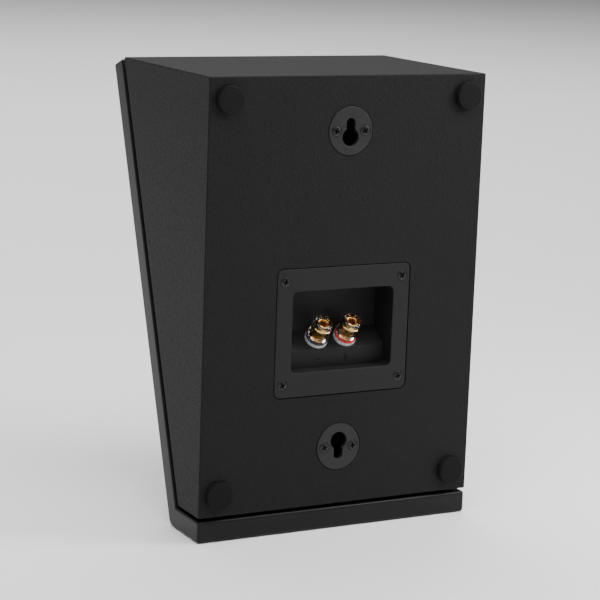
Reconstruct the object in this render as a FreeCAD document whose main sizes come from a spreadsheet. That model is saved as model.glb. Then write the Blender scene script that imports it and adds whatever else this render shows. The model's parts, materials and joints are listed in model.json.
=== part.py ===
import FreeCAD, Part
import math
import os
import re
import Sketcher

# Wedge-shaped two-way bookshelf loudspeaker with a tilted front, millimetres, +Z up.
# Heights in the sheet are measured from the underside of the base; every sub-part is
# then lowered by the height of the upper keyhole, which is the origin of the model.
# The rear face is the plane y = 0 and the front faces -Y.

Vector = FreeCAD.Vector
Rotation = FreeCAD.Rotation
Placement = FreeCAD.Placement

DIMENSIONS = [
    # carcass
    ("cabinet_width", 180), ("cabinet_height", 254.5), ("top_depth", 122.5), ("bottom_depth", 28.5),
    ("wall", 12), ("baffle_thickness", 15), ("edge_round", 0.8),
    # L-shaped fascia with its base, and the two dark gaps behind it
    ("fascia_thickness", 13), ("shadow_gap", 3.5), ("bottom_gap", 2), ("fascia_round", 1.8),
    ("fascia_corner_round", 6), ("spacer_inset", 8),
    # woofer, radii about its axis and depths below the fascia's outer face
    ("woofer_along", 189.5), ("woofer_flange_radius", 69), ("woofer_flange_thickness", 4),
    ("woofer_gasket_thickness", 1), ("woofer_hole_radius", 61), ("woofer_recess_clearance", 0.4),
    ("woofer_screw_circle", 65), ("surround_outer", 60.5), ("surround_lip", 55), ("cone_radius", 46.5),
    ("surround_sheet", 0.8), ("lip_depth", 2), ("cone_depth", 21),
    ("cone_sheet", 0.9), ("cap_radius", 18), ("cap_rise", 6), ("cap_base", 17), ("former_radius", 12.8),
    ("former_sheet", 0.4), ("former_end", 48), ("coil_sheet", 0.8), ("coil_start", 36.5),
    ("spider_ledge_depth", 24.5), ("spider_outer", 47), ("spider_sheet", 0.8),
    ("basket_depth", 39), ("basket_plate", 2.5), ("basket_radius", 45), ("top_plate_radius", 40),
    ("top_plate_thickness", 6), ("voice_gap_outer", 14.2), ("magnet_radius", 42),
    ("magnet_bore", 20), ("magnet_thickness", 15), ("back_plate_thickness", 6),
    ("pole_radius", 11.8), ("pole_vent", 4),
    # tweeter
    ("tweeter_along", 70), ("tweeter_radius", 45), ("tweeter_plate", 3.5), ("tweeter_gasket_sheet", 0.5),
    ("tweeter_hole_radius", 35.5), ("tweeter_screw_circle", 40), ("guide_mouth", 32), ("guide_throat", 16.6),
    ("guide_depth", 6), ("dome_radius", 12.9), ("dome_rise", 5.5), ("dome_sheet", 0.4), ("dome_base", 5.6),
    ("tweeter_coil_end", 12), ("tweeter_gap_outer", 13.6), ("tweeter_top_depth", 6.5),
    ("tweeter_top_thickness", 3.5), ("tweeter_top_radius", 30), ("tweeter_magnet_radius", 32),
    ("tweeter_magnet_bore", 16.5), ("tweeter_magnet_thickness", 10), ("tweeter_yoke", 4),
    ("tweeter_pole", 11.9), ("chamber_radius", 26), ("chamber_length", 13), ("chamber_wall", 2),
    # terminal cup, heights above the underside of the base
    ("cup_height", 120.4), ("cup_flange_width", 87.6), ("cup_flange_tall", 76.3), ("cup_flange", 3),
    ("cup_gasket", 0.8), ("cup_groove", 0.45), ("cup_corner", 4), ("cup_wall", 2.2),
    ("recess_width", 66.4), ("recess_top", 145), ("recess_floor", 96.8), ("recess_deep", 21.5),
    ("recess_crease", 117.2), ("recess_step", 9.5), ("recess_shelf", 107.3), ("recess_corner", 3.5),
    ("lip_round", 0.6), ("mark_long", 4), ("mark_wide", 0.8), ("mark_deep", 0.5),
    ("mark_height", 101.9), ("mark_shift", 1.8),
    ("cup_screw_wide", 77.1), ("cup_screw_tall", 61.2),
    # binding posts, distances along the post from the shelf it stands on
    ("post_pitch", 19), ("post_set_in", 15.5), ("stud_radius", 3), ("stud_end", 14.4), ("stud_tail", 10),
    ("plug_bore", 2), ("plug_depth", 12), ("wire_hole", 1.2), ("base_ring_radius", 7),
    ("base_ring_thickness", 2.2), ("colour_ring_radius", 6.8), ("colour_ring_thickness", 1.2),
    ("washer_radius", 5.6), ("washer_thickness", 0.7), ("washer_gap", 0.05), ("thread_clearance", 0.05),
    ("insert_radius", 4.4), ("knob_start", 4.25), ("insert_end", 14.8), ("knob_end", 16),
    ("knob_radius", 6.4), ("knob_waist", 6), ("knob_neck", 5.8), ("knob_skirt", 2.2),
    ("knob_mouth", 3.4), ("nut_flats", 9), ("nut_thickness", 3), ("tag_thickness", 0.6),
    # keyhole plates
    ("keyhole_upper", 237.5), ("keyhole_lower", 50), ("keyhole_disc", 14.2), ("keyhole_thickness", 3),
    ("keyhole_proud", 0.4), ("keyhole_groove", 0.35), ("keyhole_entry", 5.2), ("keyhole_drop", 3.7),
    ("keyhole_slot", 2.8), ("keyhole_rise", 4.6), ("keyhole_screw", 9.4), ("keyhole_room_wide", 14),
    ("keyhole_room_tall", 21.4), ("keyhole_cover_rim", 4), ("keyhole_cover", 2), ("plate_round", 0.5),
    # rubber pads
    ("pad_radius", 8.3), ("pad_thickness", 3.8), ("pad_inset_side", 12.4), ("pad_inset_end", 13),
    # screws
    ("small_head", 3.4), ("small_shank", 1.6), ("small_length", 10), ("large_head", 3.8),
    ("large_shank", 2), ("large_length", 12.5), ("head_height", 2.2), ("cross_wide", 0.9),
    ("cross_long", 3.8), ("cross_deep", 1.3),
    # crossover, mounted on the inside of a side wall
    ("board_width", 40), ("board_tall", 80), ("board_sheet", 1.6), ("board_height", 152),
    ("board_rear", 18), ("standoff", 6), ("standoff_radius", 3),
    ("coil_outer", 12), ("coil_bore", 5), ("coil_long", 12), ("capacitor_radius", 6),
    ("capacitor_long", 24), ("resistor_long", 13), ("resistor_side", 9),
    # damping
    ("wadding_width", 124), ("wadding_thick", 12), ("wadding_tall", 92), ("wadding_low", 152),
    ("wadding_shift", 8), ("wadding_gap", 0.5),
    # internal wires
    ("wire_radius", 1),
]

document = FreeCAD.newDocument("Loudspeaker")
sheet = document.addObject("Spreadsheet::Sheet", "Dims")
for row, (alias, value) in enumerate(DIMENSIONS, start=1):
    sheet.set(f"A{row}", alias)
    sheet.set(f"B{row}", str(value))
    sheet.setAlias(f"B{row}", alias)
document.recompute()

nodes = []


def size(alias):
    """Value of one cell, in millimetres."""
    return float(sheet.get(alias))


def bound(expression):
    """Expression with each dimension's name pointed at the sheet."""
    return re.sub(r"\b([a-z][a-z_]*)\b(?!\()", r"Dims.\1", expression)


def keep(item, label):
    """Mark an object as a finished sub-part."""
    item.Label = label
    nodes.append(item)
    return item


# ---------------------------------------------------------------- places

BASE_TOP = "fascia_thickness"
CABINET_LOW = "(fascia_thickness + bottom_gap)"
CABINET_TOP = "(fascia_thickness + bottom_gap + cabinet_height)"
LEAN = "((top_depth - bottom_depth) / cabinet_height)"
SECANT = f"sqrt(1 + {LEAN} ^ 2)"

cabinet_low = size("fascia_thickness") + size("bottom_gap")
cabinet_top = cabinet_low + size("cabinet_height")
lean_angle = math.atan((size("top_depth") - size("bottom_depth")) / size("cabinet_height"))
origin_height = size("keyhole_upper") - size("keyhole_drop")
TILT_FRONT = 90 + math.degrees(lean_angle)
TILT_REAR = -90
CUP_CLEARANCE = 0.3


def at(x, y, z, tilt=0.0):
    """Placement at a height above the underside of the base, tilted about X."""
    return Placement(Vector(x, y, z - origin_height), Rotation(Vector(1, 0, 0), tilt))


def shifted(frame, x=0.0, y=0.0, z=0.0, turn=0.0):
    """Placement inside another one: moved, then turned about its own Z."""
    return frame.multiply(Placement(Vector(x, y, z), Rotation(Vector(0, 0, 1), turn)))


def ring(frame, radius, count, first=0.0, z=0.0):
    """Placements evenly spaced on a circle about a frame's axis."""
    places = []
    for index in range(count):
        angle = first + 360.0 * index / count
        places.append(shifted(shifted(frame, turn=angle), x=radius, z=z))
    return places


def front_y(height, out="0"):
    """y of the cabinet's tilted front plane, or of a plane parallel to it."""
    return f"-(bottom_depth + ({height} - {CABINET_LOW}) * {LEAN} + ({out}) * {SECANT})"


def driver_frame(along):
    """Frame on the fascia's outer face: Z points out of the front, Y up the slope."""
    out = size("shadow_gap") + size("fascia_thickness")
    sine, cosine = math.sin(lean_angle), math.cos(lean_angle)
    y = -size("bottom_depth") - along * sine - out * cosine
    z = cabinet_low + along * cosine - out * sine
    return at(0, y, z, TILT_FRONT)


WOOFER = driver_frame(size("woofer_along"))
TWEETER = driver_frame(size("tweeter_along"))
BUILD = at(0, 0, 0)

def post_frame(side):
    """Frame on the sloping shelf of the terminal cup, Z along the binding post."""
    slope = (size("recess_crease") - size("recess_shelf")) / (size("recess_deep") - size("recess_step"))
    y = -size("post_set_in")
    z = size("recess_crease") - (size("recess_deep") - size("post_set_in")) * slope
    return at(side * size("post_pitch") / 2, y, z, -math.degrees(math.atan(slope)))


# ---------------------------------------------------------------- sketches and features

def origin_plane(body, role):
    """One of a body's own origin planes, found by its role."""
    return next(item for item in body.Origin.OriginFeatures if item.Role == role)


def new_body(name, frame):
    """Empty body standing at a frame."""
    body = document.addObject("PartDesign::Body", name)
    body.Placement = frame
    return body


def new_sketch(body, name, role):
    """Empty sketch on one of the body's origin planes."""
    sketch = body.newObject("Sketcher::SketchObject", name)
    sketch.AttachmentSupport = (origin_plane(body, role), [""])
    sketch.MapMode = "FlatFace"
    return sketch


def bind(sketch, kind, geometry, point, start, expression):
    """Distance from the sketch's origin to a point, driven by an expression."""
    index = sketch.addConstraint(Sketcher.Constraint(kind, -1, 1, geometry, point, start))
    sketch.setExpression(f"Constraints[{index}]", bound(expression))


def outline(body, name, role, corners):
    """Closed outline whose corners are all driven by the sheet."""
    sketch = new_sketch(body, name, role)
    count = len(corners)
    turns = [2 * math.pi * index / count for index in range(count)]
    start = [Vector(20 * math.cos(turn), 20 * math.sin(turn), 0) for turn in turns]
    for index in range(count):
        sketch.addGeometry(Part.LineSegment(start[index], start[(index + 1) % count]))
    for index in range(count):
        sketch.addConstraint(Sketcher.Constraint("Coincident", index, 2, (index + 1) % count, 1))
    for index, (across, up) in enumerate(corners):
        bind(sketch, "DistanceX", index, 1, start[index].x, across)
        bind(sketch, "DistanceY", index, 1, start[index].y, up)
    return sketch


def rectangle(body, name, role, left, right, low, high):
    """Rectangle between two limits each way."""
    return outline(body, name, role, [(left, low), (right, low), (right, high), (left, high)])


def circles(body, name, role, discs):
    """Circles, each given by its centre and radius."""
    sketch = new_sketch(body, name, role)
    for index, (across, up, radius) in enumerate(discs):
        centre = Vector(25.0 * index, 3.0, 0)
        sketch.addGeometry(Part.Circle(centre, Vector(0, 0, 1), 2.0))
        bind(sketch, "DistanceX", index, 3, centre.x, across)
        bind(sketch, "DistanceY", index, 3, centre.y, up)
        number = sketch.addConstraint(Sketcher.Constraint("Radius", index, 2.0))
        sketch.setExpression(f"Constraints[{number}]", bound(radius))
    return sketch


def pad(body, sketch, length, symmetric=False, reverse=False):
    """Pad of a sketch."""
    feature = body.newObject("PartDesign::Pad", f"{sketch.Name}_pad")
    feature.Profile = sketch
    feature.setExpression("Length", bound(length))
    feature.SideType = "Symmetric" if symmetric else "One side"
    feature.Reversed = reverse
    document.recompute()
    return feature


def pocket(body, sketch, length, symmetric=False, reverse=False):
    """Pocket of a sketch; it has to remove something."""
    before = body.Shape.Volume
    feature = body.newObject("PartDesign::Pocket", f"{sketch.Name}_pocket")
    feature.Profile = sketch
    feature.setExpression("Length", bound(length))
    feature.SideType = "Symmetric" if symmetric else "One side"
    feature.Reversed = reverse
    document.recompute()
    if body.Shape.Volume >= before - 1e-6:
        raise RuntimeError(f"{feature.Name} removes nothing")
    return feature


def round_edges(body, name, radius, wanted):
    """Fillet on the edges of the body's tip that a test picks."""
    base = body.Tip
    edges = [f"Edge{index}" for index, edge in enumerate(base.Shape.Edges, start=1) if wanted(edge)]
    feature = body.newObject("PartDesign::Fillet", name)
    feature.Base = (base, edges)
    feature.setExpression("Radius", bound(radius))
    document.recompute()
    return feature


def turned(name, frame, corners):
    """Body turned about its own Z axis; corners are (radius, height)."""
    body = new_body(name, frame)
    sketch = outline(body, f"{name}_profile", "XZ_Plane", corners)
    feature = body.newObject("PartDesign::Revolution", f"{name}_turn")
    feature.Profile = sketch
    feature.ReferenceAxis = (sketch, ["V_Axis"])
    feature.Angle = 360
    return body


def tube(name, frame, inner, outer, low, high):
    """Turned ring with a rectangular section."""
    return turned(name, frame, [(inner, low), (outer, low), (outer, high), (inner, high)])


def drill(name, frame, radius, length, start=0.0):
    """Cylinder along a frame's Z axis, used as a cutter or a plain pin."""
    item = document.addObject("Part::Cylinder", name)
    item.setExpression("Radius", bound(radius))
    item.setExpression("Height", bound(length))
    item.Placement = shifted(frame, z=start)
    return item


def block(name, frame, length, width, height):
    """Box with its corner at a frame."""
    item = document.addObject("Part::Box", name)
    item.setExpression("Length", bound(length))
    item.setExpression("Width", bound(width))
    item.setExpression("Height", bound(height))
    item.Placement = frame
    return item


def cut(name, base, tools):
    """Base less its tools."""
    item = document.addObject("Part::Cut", name)
    item.Base = base
    item.Tool = tools[0] if len(tools) == 1 else fuse(f"{name}_tools", tools)
    return item


def fuse(name, items):
    """Several solids made one."""
    item = document.addObject("Part::MultiFuse", name)
    item.Shapes = items
    return item


def group(name, items):
    """Separate solids that share a node."""
    item = document.addObject("Part::Compound", name)
    item.Links = items
    return item


# ---------------------------------------------------------------- screws

def screw(name, frame, head, shank, length):
    """Countersunk cross-head screw; the frame is on its head's face, Z out of the head."""
    top = document.addObject("Part::Cone", f"{name}_head")
    top.setExpression("Radius1", bound(shank))
    top.setExpression("Radius2", bound(head))
    top.setExpression("Height", bound("head_height"))
    top.Placement = shifted(frame, z=-size("head_height"))
    stem = drill(f"{name}_stem", frame, shank, f"{length} - head_height", -size(length))
    bars = []
    for turn in (0, 90):
        corner = shifted(shifted(frame, turn=turn), x=-size("cross_long") / 2,
                         y=-size("cross_wide") / 2, z=-size("cross_deep"))
        bars.append(block(f"{name}_bar{turn}", corner, "cross_long", "cross_wide", "2 * cross_deep"))
    return cut(name, fuse(f"{name}_blank", [top, stem]), bars)


def screws(label, frames, head, shank, length):
    """Identical screws in one node."""
    items = []
    for index, frame in enumerate(frames):
        items.append(screw(f"{label}_{index}", frame, head, shank, length))
    return keep(group(label, items), label)


def screw_holes(label, frames, head, shank, length):
    """Cutters that leave room for screws: the countersink and the shank."""
    items = []
    for index, frame in enumerate(frames):
        cone = document.addObject("Part::Cone", f"{label}_sink{index}")
        cone.setExpression("Radius1", bound(shank))
        cone.setExpression("Radius2", bound(head))
        cone.setExpression("Height", bound("head_height"))
        cone.Placement = shifted(frame, z=-size("head_height"))
        items.append(cone)
        items.append(drill(f"{label}_bore{index}", frame, shank, f"{length} + 1", -size(length)))
    return items


WOOFER_SCREWS = ring(WOOFER, size("woofer_screw_circle"), 6, first=30)
TWEETER_SCREWS = ring(TWEETER, size("tweeter_screw_circle"), 4, first=45)


def cup_screw_frames():
    """Screw places at the corners of the terminal cup's flange."""
    frames = []
    for across in (-1, 1):
        for up in (-1, 1):
            x = across * size("cup_screw_wide") / 2
            z = size("cup_height") + up * size("cup_screw_tall") / 2
            frames.append(at(x, 0, z, TILT_REAR))
    return frames


def keyhole_screw_frames():
    """Screw places beside each keyhole."""
    frames = []
    for height in ("keyhole_upper", "keyhole_lower"):
        for across in (-1, 1):
            frames.append(at(across * size("keyhole_screw"), size("keyhole_proud"), size(height), TILT_REAR))
    return frames


# ---------------------------------------------------------------- carcass

def cabinet_carcass():
    """Whole carcass before it is parted into its five glued panels, open in front."""
    body = new_body("carcass_body", BUILD)
    wedge = outline(body, "carcass_wedge", "YZ_Plane", [
        ("0", CABINET_LOW), ("0", CABINET_TOP), ("-top_depth", CABINET_TOP), ("-bottom_depth", CABINET_LOW)])
    pad(body, wedge, "cabinet_width", symmetric=True)
    round_edges(body, "carcass_round", "edge_round", lambda edge: True)
    inside_low = f"{CABINET_LOW} + wall"
    inside_top = f"{CABINET_TOP} - wall"
    hollow = outline(body, "carcass_hollow", "YZ_Plane", [
        ("-wall", inside_low), ("-wall", inside_top), ("-(top_depth + wall)", inside_top),
        ("-(bottom_depth + 2 * wall)", inside_low)])
    pocket(body, hollow, "cabinet_width - 2 * wall", symmetric=True)
    half_wide = "(cup_flange_width / 2 + cup_groove)"
    half_tall = "(cup_flange_tall / 2 + cup_groove)"
    seat = rectangle(body, "cup_seat", "XZ_Plane", f"-{half_wide}", half_wide,
                     f"cup_height - {half_tall}", f"cup_height + {half_tall}")
    pocket(body, seat, "cup_flange + cup_gasket", reverse=True)
    round_edges(body, "cup_seat_corners", "cup_corner + cup_groove", is_seat_corner)
    half_open = f"(recess_width / 2 + cup_wall + {CUP_CLEARANCE})"
    through = rectangle(body, "cup_hole", "XZ_Plane", f"-{half_open}", half_open,
                        f"recess_floor - cup_wall - {CUP_CLEARANCE}",
                        f"recess_top + cup_wall + {CUP_CLEARANCE}")
    pocket(body, through, "wall + 1", reverse=True)
    seats = circles(body, "keyhole_seats", "XZ_Plane", [
        ("0", "keyhole_upper", "keyhole_disc + keyhole_groove"),
        ("0", "keyhole_lower", "keyhole_disc + keyhole_groove")])
    pocket(body, seats, "keyhole_thickness - keyhole_proud", reverse=True)
    for name, height in (("upper", "keyhole_upper"), ("lower", "keyhole_lower")):
        room = rectangle(body, f"keyhole_room_{name}", "XZ_Plane",
                         "-keyhole_room_wide / 2", "keyhole_room_wide / 2",
                         f"{height} - keyhole_room_tall / 2", f"{height} + keyhole_room_tall / 2")
        pocket(body, room, "wall + 1", reverse=True)
    frames = cup_screw_frames() + keyhole_screw_frames()
    bores = [drill(f"rear_bore{index}", frame, "small_shank", "small_length", -size("small_length"))
             for index, frame in enumerate(frames)]
    return cut("carcass", body, bores)


def is_seat_corner(edge):
    """True for the four front-to-back corner edges of the terminal cup's seat."""
    across = size("cup_flange_width") / 2 + size("cup_groove")
    up = size("cup_flange_tall") / 2 + size("cup_groove")
    middle = edge.BoundBox.Center
    beside = abs(abs(middle.x) - across) < 0.01
    level = abs(abs(middle.z - size("cup_height")) - up) < 0.01
    return along_y(edge) and beside and level


def panel(name, carcass, corner, lengths):
    """Part of the carcass inside one box, cut free at its glued joints."""
    item = document.addObject("Part::Common", name)
    item.Base = carcass
    item.Tool = block(f"{name}_region", corner, *lengths)
    return item


def cabinet_panels():
    """Two mirrored sides, top, bottom and rear, parted at their glued joints and wrapped as one."""
    carcass = cabinet_carcass()
    half = size("cabinet_width") / 2
    wall = size("wall")
    deep = size("top_depth")
    side_block = ("wall", "top_depth + 1", "cabinet_height")
    across_block = ("cabinet_width - 2 * wall", "top_depth + 1", "wall")
    sides = [panel("cabinet_side_left", carcass, at(-half, -deep, cabinet_low), side_block),
             panel("cabinet_side_right", carcass, at(half - wall, -deep, cabinet_low), side_block)]
    keep(group("cabinet_sides", sides), "cabinet_sides")
    across_panels = [
        ("cabinet_top", at(wall - half, -deep, cabinet_top - wall), across_block),
        ("cabinet_bottom", at(wall - half, -deep, cabinet_low), across_block),
    ]
    for label, corner, lengths in across_panels:
        keep(panel(label, carcass, corner, lengths), label)
    keep(group("cabinet_rear", rear_strips(carcass)), "cabinet_rear")


def rear_strips(carcass):
    """Rear panel in strips that meet face to face: rails between its openings, stiles beside them.

    The real panel is one sheet. Parting it at the openings keeps each strip plainly convex.
    """
    left = -size("cabinet_width") / 2 + size("wall")
    deep = size("wall")
    room = size("keyhole_room_tall") / 2
    clear = size("cup_wall") + CUP_CLEARANCE
    openings = [
        (size("keyhole_lower") - room, size("keyhole_lower") + room, size("keyhole_room_wide") / 2),
        (size("recess_floor") - clear, size("recess_top") + clear, size("recess_width") / 2 + clear),
        (size("keyhole_upper") - room, size("keyhole_upper") + room, size("keyhole_room_wide") / 2),
    ]
    strips = []
    level = cabinet_low + size("wall")
    for low, high, reach in openings:
        strips.append((left, level, -2 * left, low - level))
        strips.append((left, low, -reach - left, high - low))
        strips.append((reach, low, -reach - left, high - low))
        level = high
    strips.append((left, level, -2 * left, cabinet_top - size("wall") - level))
    return [panel(f"rear_strip{index}", carcass, at(x, -deep, z), (f"{wide}", "wall + 1", f"{tall}"))
            for index, (x, z, wide, tall) in enumerate(strips)]


def keyhole_covers():
    """Two plates glued inside the rear panel that close the rooms behind the keyholes."""
    covers = []
    half_wide = "(keyhole_room_wide / 2 + keyhole_cover_rim)"
    half_tall = "(keyhole_room_tall / 2 + keyhole_cover_rim)"
    for height in ("keyhole_upper", "keyhole_lower"):
        body = new_body(f"{height}_cover_body", at(0, -size("wall"), 0))
        plate = rectangle(body, f"{height}_cover", "XZ_Plane", f"-{half_wide}", half_wide,
                          f"{height} - {half_tall}", f"{height} + {half_tall}")
        pad(body, plate, "keyhole_cover")
        covers.append(body)
    keep(group("keyhole_covers", covers), "keyhole_covers")


def driver_cutters(name, woofer_radius, tweeter_radius, length, start):
    """Cylinders along the two drivers' axes."""
    return [drill(f"{name}_woofer", WOOFER, woofer_radius, length, start),
            drill(f"{name}_tweeter", TWEETER, tweeter_radius, length, start)]


def cabinet_baffle():
    """Inner front board between the sides, with clearance holes for both drivers."""
    body = new_body("cabinet_baffle_body", BUILD)
    low = f"{CABINET_LOW} + wall"
    top = f"{CABINET_TOP} - wall"
    profile = outline(body, "baffle_profile", "YZ_Plane", [
        (front_y(low), low), (front_y(top), top),
        (front_y(top, "-baffle_thickness"), top), (front_y(low, "-baffle_thickness"), low)])
    pad(body, profile, "cabinet_width - 2 * wall", symmetric=True)
    holes = driver_cutters("baffle_hole", "woofer_hole_radius", "tweeter_hole_radius", "60", -55)
    keep(cut("cabinet_baffle", body, holes), "cabinet_baffle")


def fascia_spacer():
    """Sheet that holds the fascia off the cabinet and leaves the shadow gap at its edges."""
    body = new_body("fascia_spacer_body", BUILD)
    low = f"{CABINET_LOW} + spacer_inset"
    top = f"{CABINET_TOP} - spacer_inset"
    profile = outline(body, "spacer_profile", "YZ_Plane", [
        (front_y(low), low), (front_y(top), top),
        (front_y(top, "shadow_gap"), top), (front_y(low, "shadow_gap"), low)])
    pad(body, profile, "cabinet_width - 2 * spacer_inset", symmetric=True)
    holes = driver_cutters("spacer_hole", "woofer_hole_radius", "tweeter_hole_radius", "60", -55)
    keep(cut("fascia_spacer", body, holes), "fascia_spacer")


def base_spacer():
    """Thin strip between the cabinet's underside and the base."""
    body = new_body("base_spacer", BUILD)
    edge = "(cabinet_width / 2 - spacer_inset)"
    profile = outline(body, "base_spacer_profile", "YZ_Plane", [
        ("-spacer_inset", BASE_TOP), ("-spacer_inset", CABINET_LOW),
        ("-(bottom_depth - spacer_inset / 2)", CABINET_LOW),
        ("-(bottom_depth - spacer_inset / 2)", BASE_TOP)])
    pad(body, profile, f"2 * {edge}", symmetric=True)
    keep(body, "base_spacer")


def front_fascia():
    """Lacquered front board and base in one L, cut for both drivers."""
    body = new_body("front_fascia_body", BUILD)
    outer = "shadow_gap + fascia_thickness"
    corners = [
        ("0", "0"), (front_y("0", outer), "0"),
        (f"-top_depth - ({outer}) / {SECANT}", f"{CABINET_TOP} - ({outer}) * {LEAN} / {SECANT}"),
        (f"-top_depth - shadow_gap / {SECANT}", f"{CABINET_TOP} - shadow_gap * {LEAN} / {SECANT}"),
        (front_y(BASE_TOP, "shadow_gap"), BASE_TOP), ("0", BASE_TOP)]
    profile = outline(body, "fascia_profile", "YZ_Plane", corners)
    pad(body, profile, "cabinet_width", symmetric=True)

    def spans_width(edge):
        return abs(edge.BoundBox.XLength - size("cabinet_width")) < 0.1

    def outer_corner(edge):
        return spans_width(edge) and edge.BoundBox.ZMax < 0.1 and edge.BoundBox.YMax < -10

    def inner_corner(edge):
        height = edge.BoundBox.ZMax - size("fascia_thickness")
        return spans_width(edge) and abs(height) < 0.1 and edge.BoundBox.YMax < -10

    round_edges(body, "fascia_corner", "fascia_corner_round", outer_corner)
    round_edges(body, "fascia_edges", "fascia_round",
                lambda edge: not inner_corner(edge) and not is_smooth_seam(edge))
    holes = driver_cutters("fascia_hole", "woofer_hole_radius", "tweeter_hole_radius", "60", -40)
    depth = size("woofer_flange_thickness") + size("woofer_gasket_thickness")
    holes.append(drill("fascia_woofer_seat", WOOFER, "woofer_flange_radius + woofer_recess_clearance",
                       "woofer_flange_thickness + woofer_gasket_thickness + 1", -depth))
    depth = size("tweeter_plate") + size("tweeter_gasket_sheet")
    holes.append(drill("fascia_tweeter_seat", TWEETER, "tweeter_radius + woofer_recess_clearance",
                       "tweeter_plate + tweeter_gasket_sheet + 1", -depth))
    for index, frame in enumerate(WOOFER_SCREWS):
        holes.append(drill(f"fascia_wscrew{index}", frame, "large_shank", "large_length",
                           -size("large_length")))
    for index, frame in enumerate(TWEETER_SCREWS):
        holes.append(drill(f"fascia_tscrew{index}", frame, "small_shank", "small_length",
                           -size("small_length")))
    keep(cut("front_fascia", body, holes), "front_fascia")


def is_smooth_seam(edge):
    """True for the straight edges where the rounded lower corner meets its flats."""
    low = edge.BoundBox.ZMax < size("fascia_corner_round") * 1.5
    wide = abs(edge.BoundBox.XLength - size("cabinet_width")) < 0.1
    return low and wide and edge.BoundBox.YMax < -size("fascia_corner_round")


# ---------------------------------------------------------------- woofer

def woofer_frame():
    """Cast basket: flange, tapering wall with windows, spider ledge and magnet ring."""
    ledge = "spider_ledge_depth"
    body = turned("woofer_frame_body", WOOFER, [
        ("woofer_flange_radius - 0.4", "0"), ("woofer_flange_radius", "-0.4"),
        ("woofer_flange_radius", "-woofer_flange_thickness"),
        ("woofer_hole_radius - 1", "-woofer_flange_thickness"),
        ("spider_outer + basket_plate", f"-{ledge} - 1.5"),
        ("basket_radius", "-basket_depth + basket_plate"),
        ("basket_radius", "-basket_depth"),
        ("magnet_bore + basket_plate + 1", "-basket_depth"),
        ("magnet_bore + basket_plate + 1", "-basket_depth + basket_plate"),
        ("basket_radius - basket_plate", "-basket_depth + basket_plate"),
        ("spider_outer - 1", f"-{ledge} - basket_plate"),
        ("spider_outer - 7", f"-{ledge} - basket_plate"),
        ("spider_outer - 7", f"-{ledge}"),
        ("spider_outer + 0.3", f"-{ledge}"),
        ("surround_lip + 1.8", "-lip_depth - 3.5"),
        ("surround_lip - 0.5", "-lip_depth - 3.5"),
        ("surround_lip - 0.5", "-lip_depth"),
        ("surround_outer + 0.3", "-lip_depth"),
        ("surround_outer + 0.3", "0")])
    cutters = screw_holes("woofer_frame", WOOFER_SCREWS, "large_head", "large_shank", "large_length")
    for index in range(6):
        corner = shifted(shifted(WOOFER, turn=60 * index), x=38, y=-17, z=-22)
        cutters.append(block(f"woofer_window{index}", corner, "30", "34", "14.5"))
    keep(cut("woofer_frame", body, cutters), "woofer_frame")


def woofer_gasket():
    """Foam ring under the woofer's flange."""
    body = tube("woofer_gasket_body", WOOFER, "woofer_hole_radius + 0.1", "woofer_flange_radius",
                "-woofer_flange_thickness - woofer_gasket_thickness", "-woofer_flange_thickness")
    cutters = [drill(f"gasket_bore{index}", frame, "large_shank", "large_length", -size("large_length"))
               for index, frame in enumerate(WOOFER_SCREWS)]
    keep(cut("woofer_gasket", body, cutters), "woofer_gasket")


def surround_roll(name, frame, inner, outer, flat_in, flat_out, level, sheet_name, steps=8):
    """Half-roll edge: a thin arched strip with a flat lip on each side."""
    middle = f"(({inner}) + ({outer})) / 2"
    radius = f"(({outer}) - ({inner})) / 2"
    top = []
    under = []
    for step in range(steps + 1):
        angle = 180.0 * step / steps
        top.append((f"{middle} - ({radius}) * cos({angle})",
                    f"{level} + {sheet_name} + ({radius}) * sin({angle})"))
        under.append((f"{middle} - ({radius} - {sheet_name}) * cos({angle})",
                      f"{level} + ({radius} - {sheet_name}) * sin({angle}) + 0.001 * {step}"))
    corners = [(flat_in, level), (flat_in, f"{level} + {sheet_name}")] + top
    corners += [(flat_out, f"{level} + {sheet_name}"), (flat_out, level)] + under[::-1]
    return turned(name, frame, corners)


def woofer_moving_parts():
    """Cone, cap, former and coil, and the two soft parts that carry them."""
    keep(surround_roll("woofer_surround", WOOFER, "cone_radius", "surround_lip", "cone_radius - 3",
                       "surround_outer", "-lip_depth", "surround_sheet"), "woofer_surround")
    keep(tube("woofer_trim_ring", WOOFER, "surround_lip + 0.6", "surround_outer",
              "-lip_depth + surround_sheet", "-0.1"), "woofer_trim_ring")
    keep(turned("woofer_cone", WOOFER, [
        ("cone_radius - 0.3", "-lip_depth - 0.05"), ("former_radius + 0.02", "-cone_depth"),
        ("former_radius + 0.02", "-cone_depth - cone_sheet"),
        ("cone_radius - 0.3", "-lip_depth - 0.05 - cone_sheet")]), "woofer_cone")
    cap = dome("woofer_dust_cap", WOOFER, "cap_radius", "cap_rise", "-cap_base", "cone_sheet")
    keep(cap, "woofer_dust_cap")
    keep(tube("woofer_former", WOOFER, "former_radius - former_sheet", "former_radius",
              "-former_end", "-cone_depth + 2"), "woofer_former")
    keep(tube("woofer_voice_coil", WOOFER, "former_radius", "former_radius + coil_sheet",
              "-former_end + 0.5", "-coil_start"), "woofer_voice_coil")
    keep(turned("woofer_spider", WOOFER, spider_corners()), "woofer_spider")


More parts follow.
